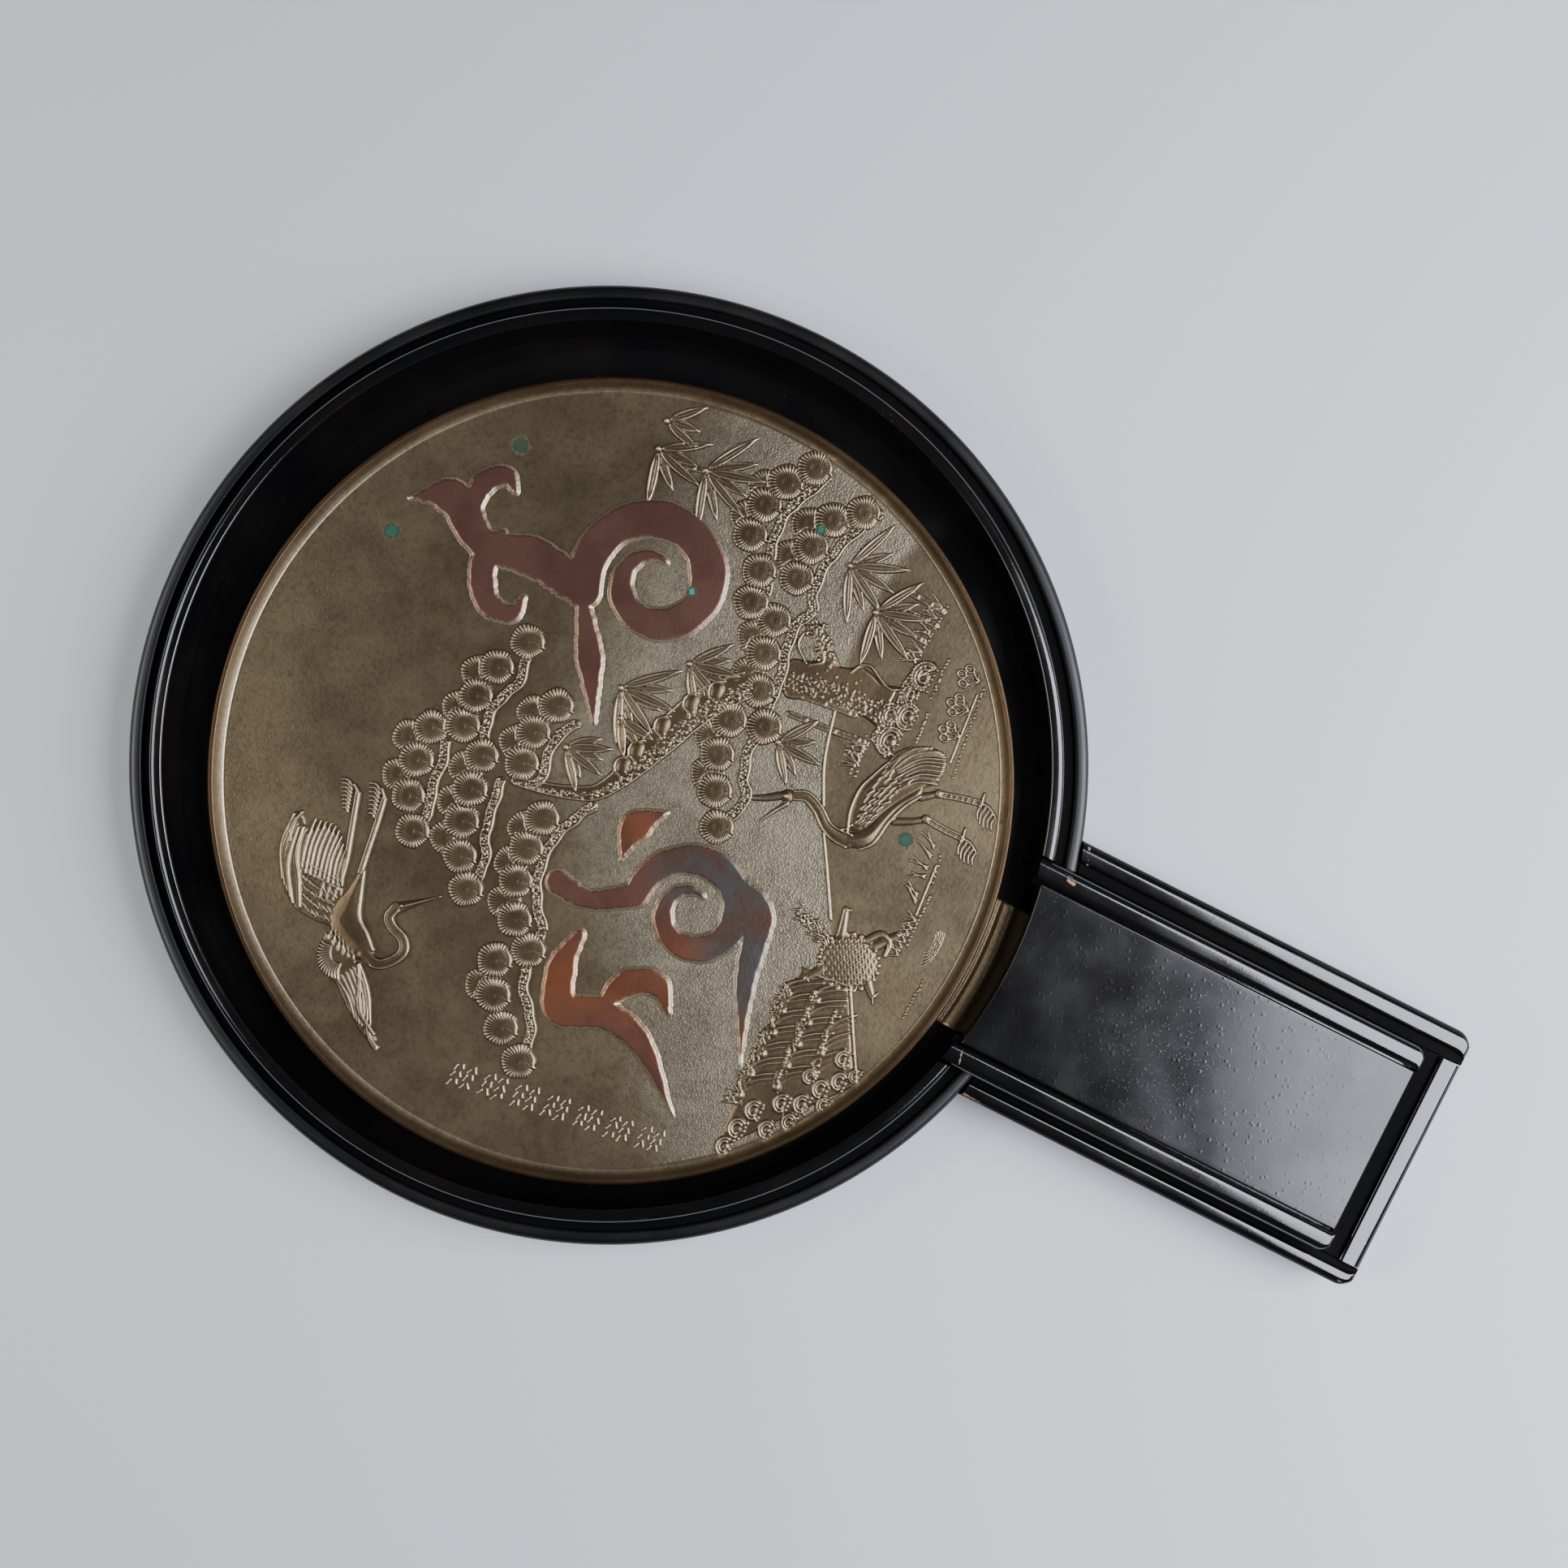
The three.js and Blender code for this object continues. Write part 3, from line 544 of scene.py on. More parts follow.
def bronze_material(name, scroll=False):
    material, tree, shader = node_material(name)
    g = Graph(tree)
    ridge_and_highlight = g.layer("ridge_and_highlight")
    zone = g.layer("grain")
    tone = g.layer("tone")
    cloud = g.noise(17.0, 5.0, 0.6)
    blotch = g.noise(60.0, 4.0, 0.6, distortion=0.4)
    fine = g.noise(310.0, 3.0, 0.6)
    if scroll:
        warm = g.ramp(g.near(*on_mirror(-60, -30)), 0.044, 0.012)
        warm = g.most(warm, g.ramp(g.near(*on_mirror(-11, -13)), 0.014, 0.004, 0.0, 0.6))
        grey = g.most(g.ramp(g.near(*on_mirror(-9, -42)), 0.028, 0.010),
                      g.ramp(g.near(*on_mirror(-30, -62)), 0.022, 0.008))
        colour = g.mix(g.times(warm, g.ramp(cloud, 0.3, 0.62)), COPPER_RED, COPPER_ORANGE)
        colour = g.mix(g.times(grey, g.ramp(blotch, 0.30, 0.52)), colour, STEEL)
        colour = g.mix(g.ramp(blotch, 0.5, 0.75, 0.0, 0.35), colour, COPPER_DULL)
        # The scrolls' bevelled sides get a painted highlight, the same all round.
        colour = g.mix(g.layer("side"), colour, PAINTED_SIDE_HIGHLIGHT)
    else:
        colour = g.mix(g.ramp(cloud, 0.32, 0.74, 0.0, 0.75), BRONZE, BRONZE_SHADE)
        colour = g.mix(g.ramp(blotch, 0.5, 0.8, 0.0, 0.45), colour, OLIVE)
        colour = g.mix(g.ramp(zone, 0.3, 1.0, 0.0, 0.75), colour, BRONZE_GROUND)
        colour = g.mix(g.times(tone, 0.8), colour, BRONZE_BROWN)
        # High points are painted lighter, partly as rubbed polish and partly as painted highlight; hollows
        # darker, as patina.
        colour = g.mix(g.ramp(ridge_and_highlight, 0.55, 0.95, 0.0, 0.60), colour, BRONZE_POLISH_AND_HIGHLIGHT)
        colour = g.mix(g.ramp(ridge_and_highlight, 0.46, 0.15, 0.0, 0.8), colour, BRONZE_DARK)
        colour = g.mix(g.layer("rust"), colour, RIM_BROWN)
        colour = g.mix(g.ramp(fine, 0.56, 0.70, 0.0, 0.20), colour, BRONZE_DARK)
        colour = g.mix(g.ramp(g.noise(720.0, 3.0, 0.6), 0.48, 0.62, 0.0, 0.26), colour, BRONZE_DARK)
    green = None
    halo = None
    torn = g.noise(1100.0, 3.0)
    for u, v, radius, bright in SPOTS:
        distance = g.near(*on_mirror(u, v, 0.5))
        bite = g.times(g.minus(torn, 0.5), radius * 1.1 * MM)
        ragged = g.plus(distance, bite)
        core = g.times(g.ramp(ragged, radius * 0.85 * MM, radius * 0.5 * MM), bright)
        ring = g.ramp(ragged, radius * 1.12 * MM, radius * 0.85 * MM, 0.0, 0.85)
        green = core if green is None else g.most(green, core)
        halo = ring if halo is None else g.most(halo, ring)
    colour = g.mix(halo, colour, VERDIGRIS_DARK)
    colour = g.mix(green, colour, VERDIGRIS)
    g.link(colour, shader.inputs["Base Color"])
    covered = g.most(green, halo)
    metal = g.times(g.minus(1.0, covered, clamp=True), METAL_SHARE)
    g.link(metal, shader.inputs["Metallic"])
    g.link(g.ramp(covered, 0.0, 1.0, 0.5, 0.06), shader.inputs["Specular IOR Level"])
    rough = g.ramp(blotch, 0.3, 0.8, 0.32, 0.44)
    rough = g.plus(rough, g.times(covered, 0.35), clamp=True)
    g.link(rough, shader.inputs["Roughness"])
    pears = g.cells(1700.0)
    granules = g.times(pears, zone)
    skin_bump = g.bump(granules, 0.00018, 0.5)
    cast = g.bump(g.noise(900.0, 4.0, 0.65), 0.00010, 0.6, skin_bump)
    scratches = g.bump(g.noise(700.0, 2.0, 0.5, (0.12, 1.0, 1.0)), 0.00005, 0.25, cast)
    dents = g.bump(g.noise(120.0, 3.0), 0.0004, 0.12, scratches)
    g.link(dents, shader.inputs["Normal"])
    return material


bronze = bronze_material("aged bronze")
copper = bronze_material("polished copper red", scroll=True)


# The lacquered case

def case_piece(name, rings, edge, node, closed=False, matt=None, material=lacquer):
    points = rings.reshape(-1, 3)
    layers = {"edge": edge, "matt": np.zeros(len(points)) if matt is None else matt}
    piece = add_piece(name, points, skin(rings, closed), material, layers)
    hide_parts(node)
    return piece


def ledge_mask(rings):
    """The lid's seat is left matt."""
    z = rings.reshape(-1, 3)[:, 2]
    return (np.abs(z - LEDGE_TOP) < 0.35).astype(float)


def ring_lining():
    rings, edge = open_ring(lining_profile())
    case_piece("round_raised_lining_fine", rings, edge, "round_raised_lining")


def ring_wall():
    rings, edge = open_ring(wall_profile(WALL_INNER, LEDGE_WIDTH, RING_OUTER))
    dull = np.maximum(ledge_mask(rings), 0.45)
    case_piece("round_outer_wall_fine", rings, edge, "round_outer_wall", matt=dull)


def rails():
    for side, name in ((-1, "handle_left_rail"), (1, "handle_right_rail")):
        rings, edge = bar(rail_profile(), LINING_INNER, RAIL_END, side, RAIL_CORNER)
        case_piece(name + "_fine", rings, edge, name)


def side_walls():
    walls = [
        (-1, "handle_left_wall", LEFT_LEDGE, LEFT_OUTER),
        (1, "handle_right_wall", RIGHT_LEDGE, RIGHT_OUTER),
    ]
    for side, name, ledge, outer in walls:
        corners = wall_profile(SIDE_INNER, ledge, outer)
        rings, edge = bar(corners, RING_OUTER + JOINT_GAP, OUTER_END, side, OUTER_CORNER, end_radius=2.4)
        case_piece(name + "_fine", rings, edge, name, matt=ledge_mask(rings))


def end_wall():
    profile, edge = rounded(wall_profile(END_START, END_LEDGE, OUTER_END))
    stations = np.linspace(-RAIL_OUTER, RAIL_OUTER, 40)
    rings = np.array([[(x, -d, z) for d, z in profile] for x in stations])
    case_piece("handle_end_wall_fine", rings, np.tile(edge, len(stations)), "handle_end_wall",
               matt=ledge_mask(rings))


def end_shelf():
    """The low shelf at the channel's end, which carries the cover board."""
    half = RAIL_INNER - RAIL_SHELF - JOINT_GAP
    corners = [
        (-END_START - 0.5, CASE_FLOOR, 0.0),
        (-RAIL_END + RAIL_SHELF, CASE_FLOOR, 0.0),
        (-RAIL_END + RAIL_SHELF, SHELF_TOP, 0.2),
        (-END_START - 0.5, SHELF_TOP, 0.0),
    ]
    profile, edge = rounded(corners)
    rings = np.array([[(x, y, z) for y, z in profile] for x in (-half, half)])
    case_piece("handle_end_shelf", rings, np.tile(edge, 2), "handle_end_wall")


def cover_board():
    """Flat board with softened edges and one hollow end."""
    soft = 0.7
    low, high = cover_low[2], cover_high[2]
    sides = [0.0, 0.04, 0.12, 0.25, 0.45, soft]
    middle = np.linspace(-COVER_HALF + soft, COVER_HALF - soft, 40)[1:-1]
    stations = [-COVER_HALF + d for d in sides] + list(middle) + [COVER_HALF - d for d in sides[::-1]]
    rings = []
    for x in stations:
        top = high - end_drop(COVER_HALF - abs(x), soft)
        near = -math.sqrt(COVER_ARC**2 - x**2)
        corners = [
            (near, low, 0.0),
            (-COVER_END, low, 0.0),
            (-COVER_END, top, soft * 0.9),
            (near, top, soft * 0.9),
        ]
        profile, edge = rounded(corners, 4)
        rings.append([(x, y, z) for y, z in profile])
    rings = np.array(rings)
    edge = np.tile(edge, len(stations))
    case_piece("handle_cover_board_fine", rings, edge, "handle_cover_board", material=cover_lacquer)


def base_board():
    """Keyhole outline, stacked with softened edges."""
    radius = base_high[1]
    right = RIGHT_OUTER - 1.0
    left = LEFT_OUTER - 1.0
    end = -base_low[1]
    corners = [(-left, 0, 0), (-left, -end, OUTER_CORNER), (right, -end, OUTER_CORNER), (right, 0, 0)]
    tongue, _ = rounded(corners)
    foot = [p for p in tongue if p[1] < -radius]
    angles = np.linspace(math.asin(right / radius), 2 * math.pi - math.asin(left / radius), 240)
    arc = [np.array([radius * math.sin(a), -radius * math.cos(a)]) for a in angles]
    loop = np.array(foot + arc)
    way = np.roll(loop, -1, axis=0) - np.roll(loop, 1, axis=0)
    normal = np.stack([way[:, 1], -way[:, 0]], axis=1)
    normal /= np.linalg.norm(normal, axis=1)[:, None]
    rings = []
    for inset, z in ((0.8, 0.0), (0.25, 0.2), (0.0, 0.8), (0.0, 3.6), (0.15, 3.9), (0.4, base_high[2])):
        plan = loop - normal * inset
        rings.append(np.column_stack([plan, np.full(len(plan), z)]))
    rings = np.array(rings)
    case_piece("base_board_fine", rings, np.zeros(rings.shape[0] * rings.shape[1]), "base_board")


# The bronze mirror's body

def hill_level(u, v):
    """1 on the smooth banks of the lower right, fading to 0 on the grained ground above them."""
    first = v - (-59.6 + (u - 21.7) * 0.36 + 0.0045 * (u - 21.7) * (50 - u))
    second = v - (-76.7 + (u + 7.5) * 0.61)
    low = np.where(u > 18, first, second)
    soft = np.where(u > 50, 5.0, 1.6)
    return np.clip(0.5 - low / soft, 0, 1) * np.clip((-36 - v) / 6, 0, 1)


def mirror_body():
    """Disc and rim turned as one, with the handle's bar."""
    rim_top = MIRROR_RADIUS - RIM_TAPER
    crest = rim_top - RIM_TOP_WIDTH
    corners = [
        (0.0, 0.0, 0.0),
        (MIRROR_RADIUS, 0.0, 0.7),
        (rim_top, RIM_HEIGHT, 0.8),
        (crest, RIM_HEIGHT, 0.35),
        (FIELD_RADIUS, PLATE, 0.9),
    ]
    outer, _ = rounded(corners, 5)
    field = [(r, PLATE) for r in np.linspace(FIELD_RADIUS - 1.0, 1.2, 74)]
    profile = np.array(list(outer[1:]) + field)
    turns = 300
    angles = np.linspace(0, 2 * math.pi, turns, endpoint=False)
    verts = []
    for a in angles:
        for r, z in profile:
            x = MIRROR_CENTRE[0] + r * math.cos(a)
            y = MIRROR_CENTRE[1] + r * math.sin(a)
            verts.append((x, y, MIRROR_FACE + z))
    n = len(profile)
    faces = []
    for k in range(turns):
        a, b = k * n, ((k + 1) % turns) * n
        for i in range(n - 1):
            faces.append((a + i, b + i, b + i + 1, a + i + 1))
    faces.append(tuple(k * n + n - 1 for k in range(turns)))
    faces.append(tuple(k * n for k in range(turns))[::-1])
    rings = handle_rings()
    faces += [tuple(len(verts) + i for i in face) for face in skin(rings)]
    points = np.array(verts + [point for ring in rings for point in ring])
    u = points[:, 0] - MIRROR_CENTRE[0]
    v = points[:, 1] - MIRROR_CENTRE[1]
    radius = np.hypot(u, v)
    inside = radius < FIELD_RADIUS - 0.5
    grained = np.where(inside, (0.25 + 0.75 * picture_zone(u, v)) * (1 - hill_level(u, v)), 0.0)
    ridge_and_highlight = np.full(len(points), 0.46)
    top = points[:, 2] - MIRROR_FACE
    foot = FIELD_RADIUS - 0.4
    # The rim's inner slope is painted with a highlight all the way round; above it, up to the crest, it is
    # painted a little darker.
    on_slope = (radius > foot) & (radius < foot + LIT_SLOPE_SHARE * (crest - foot)) & (top > PLATE + 0.1)
    ridge_and_highlight[on_slope] = 0.86
    ridge_and_highlight[(radius >= foot + LIT_SLOPE_SHARE * (crest - foot)) & (radius < crest + 0.4)] = 0.40
    on_top = (radius > crest - 0.2) & (top > RIM_HEIGHT - 1.2)
    rust = np.where(on_top, np.clip((radius - crest + 0.5) / 0.8, 0, 1), 0.0)
    layers = {"grain": grained, "ridge_and_highlight": ridge_and_highlight, "rust": rust, "tone": np.zeros(len(points))}
    piece = add_piece("mirror_body", points, faces, bronze, layers)
    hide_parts("bronze_mirror")


def handle_rings():
    """The handle: a flat bar with a soft swelling just outside the rim's foot."""
    near = -(MIRROR_RADIUS - 3.5)
    far = HANDLE_END - MIRROR_CENTRE[1]
    distances = list(np.linspace(0, 24, 72)) + list(np.linspace(24, near - far - 6.0, 24)[1:])
    distances += [near - far - d for d in (5.0, 4.0, 3.0, 2.0, 1.2, 0.6, 0.2, 0.0)]
    edge = [0.95, 0.975, 0.992, 1.0]
    across = np.array([-a for a in edge[::-1]] + list(np.linspace(-0.9, 0.9, 19)) + edge)
    rings = []
    for d in distances:
        v = near - d
        rest = v - far
        half = HANDLE_HALF - end_drop(rest, 6.0)
        ring = []
        for level in (1, 0):
            row = across if level else across[::-1]
            for a in row:
                u = a * half
                rho = math.hypot(u, v)
                swell = SWELL_HEIGHT * math.exp(-(((rho - SWELL_RADIUS) / 1.9) ** 2))
                swell = swell - GROOVE_DEPTH * math.exp(-(((rho - GROOVE_RADIUS) / 0.9) ** 2))
                drop = end_drop((1 - abs(a)) * half, 0.6) + end_drop(rest, 0.8)
                z = HANDLE_THICKNESS + swell - drop if level else 0.0
                ring.append((MIRROR_CENTRE[0] + u, MIRROR_CENTRE[1] + v, MIRROR_FACE + z))
        rings.append(ring)
    return rings


def picture_zone(u, v):
    """1 on the grained ground round the picture, fading out to the plain upper ground."""
    share = np.clip((44 - v + 0.9 * np.minimum(u, 0)) / 46, 0, 1)
    return share * share * (3 - 2 * share)


# Fine relief: heights in millimetres over a square grid in the picture's plane

class Field:
    """Heights on a grid, and how brown each place is."""

    def __init__(self, box, cell=0.2):
        u0, v0, u1, v1 = box
        self.cell = cell
        self.u = np.arange(u0, u1 + cell, cell)
        self.v = np.arange(v0, v1 + cell, cell)
        self.h = np.zeros((len(self.v), len(self.u)))
        self.tone = np.zeros_like(self.h)

    def window(self, low, high):
        i0 = max(int((low[0] - self.u[0]) / self.cell) - 1, 0)
        i1 = min(int((high[0] - self.u[0]) / self.cell) + 3, len(self.u))
        j0 = max(int((low[1] - self.v[0]) / self.cell) - 1, 0)
        j1 = min(int((high[1] - self.v[0]) / self.cell) + 3, len(self.v))
        area = (slice(j0, j1), slice(i0, i1))
        return area, self.u[i0:i1][None, :], self.v[j0:j1][:, None]

    def raise_to(self, area, heights, tone=0.0):
        won = heights > self.h[area]
        self.tone[area] = np.where(won, tone, self.tone[area])
        self.h[area] = np.where(won, heights, self.h[area])

    def cover(self, area, inside, heights, tone=0.0):
        """Lies over what is there already, also where it is lower."""
        self.tone[area] = np.where(inside, tone, self.tone[area])
        self.h[area] = np.where(inside, heights, self.h[area])

    def dab(self, u, v, radius, height, squash=1.0, power=0.6, tone=0.0):
        """A small bead."""
        area, gu, gv = self.window((u - radius, v - radius), (u + radius, v + radius))
        d = ((gu - u) ** 2 + ((gv - v) / squash) ** 2) / radius**2
        self.raise_to(area, height * np.clip(1 - d, 0, 1) ** power, tone)

    def stroke(self, points, widths, height, power=0.6, flat=0.0, tone=0.0):
        """A raised line through points, its widths spread evenly along it."""
        points = np.asarray(points, dtype=float)
        share = np.linspace(0, 1, len(points))
        half = np.interp(share, np.linspace(0, 1, len(widths)), widths) / 2
        for (a, b, wa, wb) in zip(points[:-1], points[1:], half[:-1], half[1:]):
            reach = max(wa, wb)
            area, gu, gv = self.window(np.minimum(a, b) - reach, np.maximum(a, b) + reach)
            t, d = beside(gu, gv, a, b)
            w = np.maximum(wa + (wb - wa) * t, 0.05)
            x = np.clip((d / w - flat) / (1 - flat), 0, 1)
            self.raise_to(area, height * (1 - x**2) ** power, tone)

    def sweep(self, places, count, widths, height, **more):
        """A raised line along a smooth curve through a few places."""
        self.stroke(curve(places, count), widths, height, **more)

    def patch(self, outline, height, bevel=0.8, power=0.6, tone=0.0, lip=0.0):
        """A raised shape inside a closed outline; the lip is a line along its edge."""
        loop = np.asarray(outline, dtype=float)
        area, gu, gv = self.window(loop.min(axis=0), loop.max(axis=0))
        depth = np.full((gv.shape[0], gu.shape[1]), 1e9)
        inside = np.zeros(depth.shape, dtype=bool)
        for a, b in zip(loop, np.roll(loop, -1, axis=0)):
            _, d = beside(gu, gv, a, b)
            depth = np.minimum(depth, d)
            if a[1] != b[1]:
                spans = (a[1] > gv) != (b[1] > gv)
                inside ^= spans & (gu < a[0] + (gv - a[1]) * (b[0] - a[0]) / (b[1] - a[1]))
        rise = height * np.clip(depth / bevel, 0, 1) ** power
        rise = rise + lip * np.exp(-(((depth - 0.55) / 0.3) ** 2))
        self.raise_to(area, np.where(inside, rise, 0), tone)

    def leaf(self, u, v, degrees, length, width, height, bend=0.0):
        """A pointed leaf with a raised edge and vein, over what lies under it."""
        a = math.radians(degrees)
        reach = length + width
        area, gu, gv = self.window((u - reach, v - reach), (u + reach, v + reach))
        t = ((gu - u) * math.cos(a) + (gv - v) * math.sin(a)) / length
        across = -(gu - u) * math.sin(a) + (gv - v) * math.cos(a) - bend * np.clip(t, 0, 1) ** 2
        body = np.clip(t, 0, 1) ** 0.6 * np.clip(1 - t, 0, 1) ** 0.85 * 2.0
        half = width / 2 * np.clip(body, 0.02, 1)
        x = np.abs(across) / half
        inside = (t > 0) & (t < 1) & (x < 1)
        edge = np.exp(-(((x - 0.72) / 0.20) ** 2))
        vein = np.exp(-((x / 0.20) ** 2))
        side = np.clip((1 - x) * half / 0.3, 0, 1)
        raised = np.maximum(edge, 0.55 * vein)
        self.cover(area, inside, height * side * (0.60 + 0.40 * raised), 0.35 * (1 - raised))


def beside(gu, gv, a, b):
    """How far along a straight line each place is, and how far from it."""
    step = np.subtract(b, a)
    length = max(float(step @ step), 1e-9)
    t = np.clip(((gu - a[0]) * step[0] + (gv - a[1]) * step[1]) / length, 0, 1)
    return t, np.hypot(gu - a[0] - t * step[0], gv - a[1] - t * step[1])


def curve(places, count):
    """Points along a smooth curve through a few places."""
    p = np.array(places, dtype=float)
    if len(p) == 2:
        return np.linspace(p[0], p[1], count)
    p = np.vstack([2 * p[0] - p[1], p, 2 * p[-1] - p[-2]])
    out = []
    for x in np.linspace(0, len(p) - 3 - 1e-6, count):
        i = int(x)
        t = x - i
        a, b, c, d = p[i], p[i + 1], p[i + 2], p[i + 3]
        square = (2 * a - 5 * b + 4 * c - d) * t**2
        cube = (3 * b - a - 3 * c + d) * t**3
        out.append(0.5 * (2 * b + (c - a) * t + square + cube))
    return np.array(out)


def closed_curve(places, count):
    return curve(places + places[:1], count)[:-1]


def oval(u, v, right, up, first, last, count):
    """Points along part of an oval, from one angle to another."""
    return [(u + right * math.cos(a), v + up * math.sin(a)) for a in np.linspace(first, last, count)]


def course(line):
    """The direction of a line at each of its points, and the direction to its left."""
    way = np.gradient(line, axis=0)
    way /= np.linalg.norm(way, axis=1)[:, None]
    return way, np.stack([-way[:, 1], way[:, 0]], axis=1)


def blurred(h, reach):
    """Heights averaged over a square about 2 * reach + 1 cells wide, twice."""
    for _ in range(2):
        for axis in (0, 1):
            pad = [(0, 0), (0, 0)]
            pad[axis] = (reach + 1, reach)
            total = np.cumsum(np.pad(h, pad, mode="edge"), axis=axis)
            size = 2 * reach + 1
            if axis == 0:
                h = (total[size:] - total[:-size]) / size
            else:
                h = (total[:, size:] - total[:, :-size]) / size
    return h


def grown(mask):
    big = mask.copy()
    big[1:] |= mask[:-1]
    big[:-1] |= mask[1:]
    big[:, 1:] |= big[:, :-1].copy()
    big[:, :-1] |= big[:, 1:].copy()
    return big


def softened(h):
    """Heights averaged a little with their neighbours, which takes the steps out of slanting edges."""
    wide = np.pad(h, 1, mode="edge")
    across = 0.25 * wide[:, :-2] + 0.5 * wide[:, 1:-1] + 0.25 * wide[:, 2:]
    return 0.25 * across[:-2] + 0.5 * across[1:-1] + 0.25 * across[2:]


def relief_piece(name, field, material=bronze, layers=None):
    """A skin over every raised cell; its edge dips just under the ground."""
    inside = np.hypot(field.u[None, :], field.v[:, None]) < FIELD_RADIUS + 0.4
    mask = (field.h > 0.03) & inside
    near_mask = grown(mask)
    nodes = grown(near_mask)
    quads = nodes[:-1, :-1] & nodes[1:, :-1] & nodes[:-1, 1:] & nodes[1:, 1:]
    used = np.zeros_like(nodes)
    used[:-1, :-1] |= quads
    used[1:, :-1] |= quads
    used[:-1, 1:] |= quads
    used[1:, 1:] |= quads
    index = np.full(nodes.shape, -1)
    index[used] = np.arange(int(used.sum()))
    j, i = np.nonzero(quads)
    faces = np.stack([index[j, i], index[j, i + 1], index[j + 1, i + 1], index[j + 1, i]], axis=1)
    height = np.where(near_mask, softened(np.where(mask, field.h, -0.10)), -0.12)
    jj, ii = np.nonzero(used)
    verts = np.stack([
        MIRROR_CENTRE[0] + field.u[ii],
        MIRROR_CENTRE[1] + field.v[jj],
        GROUND + height[jj, ii],
    ], axis=1)
    near = blurred(field.h, max(int(0.6 / field.cell), 1))
    # High points get larger values, which the material paints lighter, as polish and as painted highlight;
    # hollows smaller, darker as patina.
    ridge_and_highlight = np.clip(0.5 + (field.h - near) * 1.8, 0, 1)
    own = {"ridge_and_highlight": ridge_and_highlight[jj, ii], "grain": np.full(len(jj), 0.1), "tone": field.tone[jj, ii]}
    for key, values in (layers or {}).items():
        own[key] = values[jj, ii]
    return add_piece(name, verts, faces, material, own, recalc=False, weighted=False)


# Pines: each bough is a beaded twig and two rows of tufts, given by their middles
BOUGHS = [
    {
        "twig": [(-36, 44.6), (-31, 44.8), (-25.5, 46.8), (-18, 47.4), (-11.5, 49.2)],
        "back": [(-26.7, 57.6), (-15.2, 59.8)],
        "front": [(-39.8, 46.4), (-31.0, 52.2), (-20.4, 54.8), (-9.8, 55.2)],
    },
    {
        "twig": [(-10, 37), (-4.5, 39.8), (1.5, 41.2), (8, 40), (13.5, 37.8), (21.5, 39)],
        "back": [(-0.8, 50.6), (11, 50.2)],
        "front": [(-5.0, 47.0), (4.6, 47.6), (15.0, 45.8), (25.8, 41.0)],
    },
    {
        "twig": [(-46, 22.6), (-38, 22.9), (-31, 26.4), (-22, 28.2), (-14.5, 29.4)],
        "back": [(-37.0, 36.6), (-26.5, 39.4), (-16.0, 40.8)],
        "front": [(-48.2, 24.4), (-40.2, 30.4), (-30.6, 34.6), (-21.0, 36.6), (-10.6, 38.0)],
    },
    {
        "twig": [(-12.5, 22.5), (-9, 18.8), (-3, 20.2), (4, 20.2), (10.5, 17)],
        "back": [(-2.4, 30.8), (7.8, 30.0)],
        "front": [(-7.2, 26.4), (2.6, 27.4), (12.6, 24.8)],
    },
    {
        "twig": [(-85, -13), (-79, -12.6), (-73, -9.5), (-67, -4.4), (-60, -2.2), (-50, -1.7)],
        "back": [(-71.5, 7.4)],
        "front": [(-87.0, -12.6), (-80.4, -3.4), (-72.6, 3.0), (-63.2, 7.2)],
    },
    {
        "twig": [(-49, -1.8), (-42, 3.6), (-34, 7.0), (-24, 7.6), (-16, 5.0), (-9, 1.6)],
        "back": [(-46.4, 12.6), (-35.2, 16.0), (-24.2, 17.0)],
        "front": [(-56.2, -0.4), (-49.8, 7.4), (-39.4, 12.2), (-29.2, 13.8), (-19.2, 13.6)],
    },
    {
        "twig": [(6, -36.4), (13, -38.2), (18, -35), (25, -32.6), (33, -32.2), (42, -31.6)],
        "back": [(14.8, -24.4), (25.2, -20.6)],
        "front": [(1.8, -34.0), (11.2, -28.6), (21.2, -24.4), (32.0, -23.0)],
    },
    {
        "twig": [(42, -31.6), (50, -31.2), (58, -29), (66, -28.4), (72, -31)],
        "back": [(46.4, -21.8), (57.4, -18.4)],
        "front": [(34.8, -33.2), (43.6, -26.8), (54.2, -23.2), (64.4, -21.6)],
    },
    {
        "twig": [(72, -31), (77, -28.6), (85, -28), (93, -29.6), (101, -32.6), (107, -35.4)],
        "back": [(83.6, -17.6), (94.4, -17.8)],
        "front": [(78.6, -22.0), (88.8, -21.6), (98.8, -23.8), (104.8, -31.0)],
    },
    {
        "twig": [(79, -12.6), (87, -10.8), (95, -10.8), (102, -13.6), (110, -17)],
        "back": [(88.4, -0.6), (98.6, -1.4)],
        "front": [(84.0, -3.8), (93.8, -3.6), (102.6, -6.4), (110.2, -12.2)],
    },
    {
        "twig": [(62, -16.2), (70, -16), (79, -12.8)],
        "back": [],
        "front": [(66.2, -13.0), (75.6, -11.0)],
    },
]
TUFT_RADIUS = 5.3


